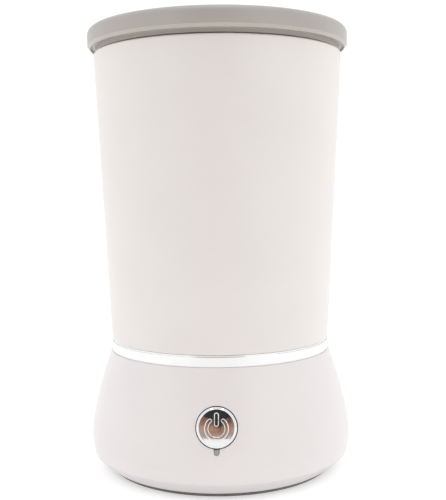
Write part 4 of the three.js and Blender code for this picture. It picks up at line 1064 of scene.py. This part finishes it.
# %% Lights and room
world = bpy.data.worlds.new("white_room")
scene.world = world
world.use_nodes = True
world.node_tree.nodes["Background"].inputs["Color"].default_value = (1, 1, 1, 1)
world.node_tree.nodes["Background"].inputs["Strength"].default_value = 1.06


def lamp(name, place, target, size, power, colour=(1, 1, 1)):
    """A square soft lamp of a given size and power that looks at a point."""
    data = bpy.data.lights.new(name, "AREA")
    data.size, data.energy, data.color = size, power, colour
    made = bpy.data.objects.new(name, data)
    made.location = place
    aim = (Vector(target) - Vector(place)).to_track_quat("-Z", "Y")
    made.rotation_mode = "QUATERNION"
    made.rotation_quaternion = aim
    scene.collection.objects.link(made)


heart = (0, 0, LID_TOP_Z / 2)
lamp("lamp_above", (0, -0.15, 1.2), heart, 0.9, 2.4)
lamp("lamp_left", (-0.8, -0.8, 0.5), heart, 0.7, 0.35)
lamp("lamp_right", (0.8, -0.8, 0.5), heart, 0.7, 0.75)

# %% Figure behind the camera
FIGURE_Y = -0.55
figure = to_mesh("figure_behind_camera", np.array([
    (-0.26, FIGURE_Y, 0.0), (0.26, FIGURE_Y, 0.0), (0.26, FIGURE_Y, 0.7), (-0.26, FIGURE_Y, 0.7)]),
    [np.array([[0, 1, 2, 3]])])
look = Finish("figure_colours", roughness=0.9)
spots = look.noise(90 * MM, detail=3, roughness=0.6)
split = look.nodes.new("ShaderNodeSeparateXYZ")
look.links.new(look.place, split.inputs["Vector"])


def arithmetic(operation, first, second=None):
    """A Math node; each input is a socket or a number."""
    node = look.nodes.new("ShaderNodeMath")
    node.operation = operation
    for socket, value in zip(node.inputs, (first, second)):
        if isinstance(value, (int, float)):
            socket.default_value = value
        elif value is not None:
            look.links.new(value, socket)
    return node.outputs[0]


sideways = look.span(arithmetic("ABSOLUTE", split.outputs["X"]), 0.0, 0.20, 0.02, 0.20)
upward = look.span(split.outputs["Z"], 0.0, 1.0, -0.14, 0.34)
uneven = look.span(spots, -0.12, 0.12, 0.3, 0.7)
tone = arithmetic("ADD", arithmetic("SUBTRACT", upward, sideways), uneven)
look.colours(tone, [
    (0.05, (0.62, 0.61, 0.60)),
    (0.20, (0.42, 0.36, 0.34)),
    (0.38, (0.45, 0.27, 0.19)),
    (0.55, (0.24, 0.13, 0.09)),
    (0.68, (0.016, 0.014, 0.014)),
])
look.gloss(spots, 0.8, 0.95)
figure.data.materials.append(look.material)
figure.visible_camera = False
figure.visible_shadow = False

# %% [markdown]
# The camera stands at about two thirds of the frother's height, looks down by four degrees
# and leans by half a degree.

# %% Camera
CAMERA_AWAY = 344 * MM
CAMERA_HEIGHT = 114.1 * MM
CAMERA_SIDE = 1.6 * MM
DOWN, LEAN, ROUND = math.radians(4.21), math.radians(-0.553), math.radians(1.5)
camera_data = bpy.data.cameras.new("camera")
camera_data.sensor_width = 36
camera_data.lens = 59.0
camera_data.clip_start = 0.01
camera = bpy.data.objects.new("camera", camera_data)
place = Matrix.Rotation(ROUND, 4, "Z") @ Matrix.Translation((CAMERA_SIDE, -CAMERA_AWAY, CAMERA_HEIGHT))
camera.matrix_world = place @ Matrix.Rotation(math.pi / 2 - DOWN, 4, "X") @ Matrix.Rotation(LEAN, 4, "Z")
scene.collection.objects.link(camera)
scene.camera = camera
scene.view_settings.view_transform = "Standard"
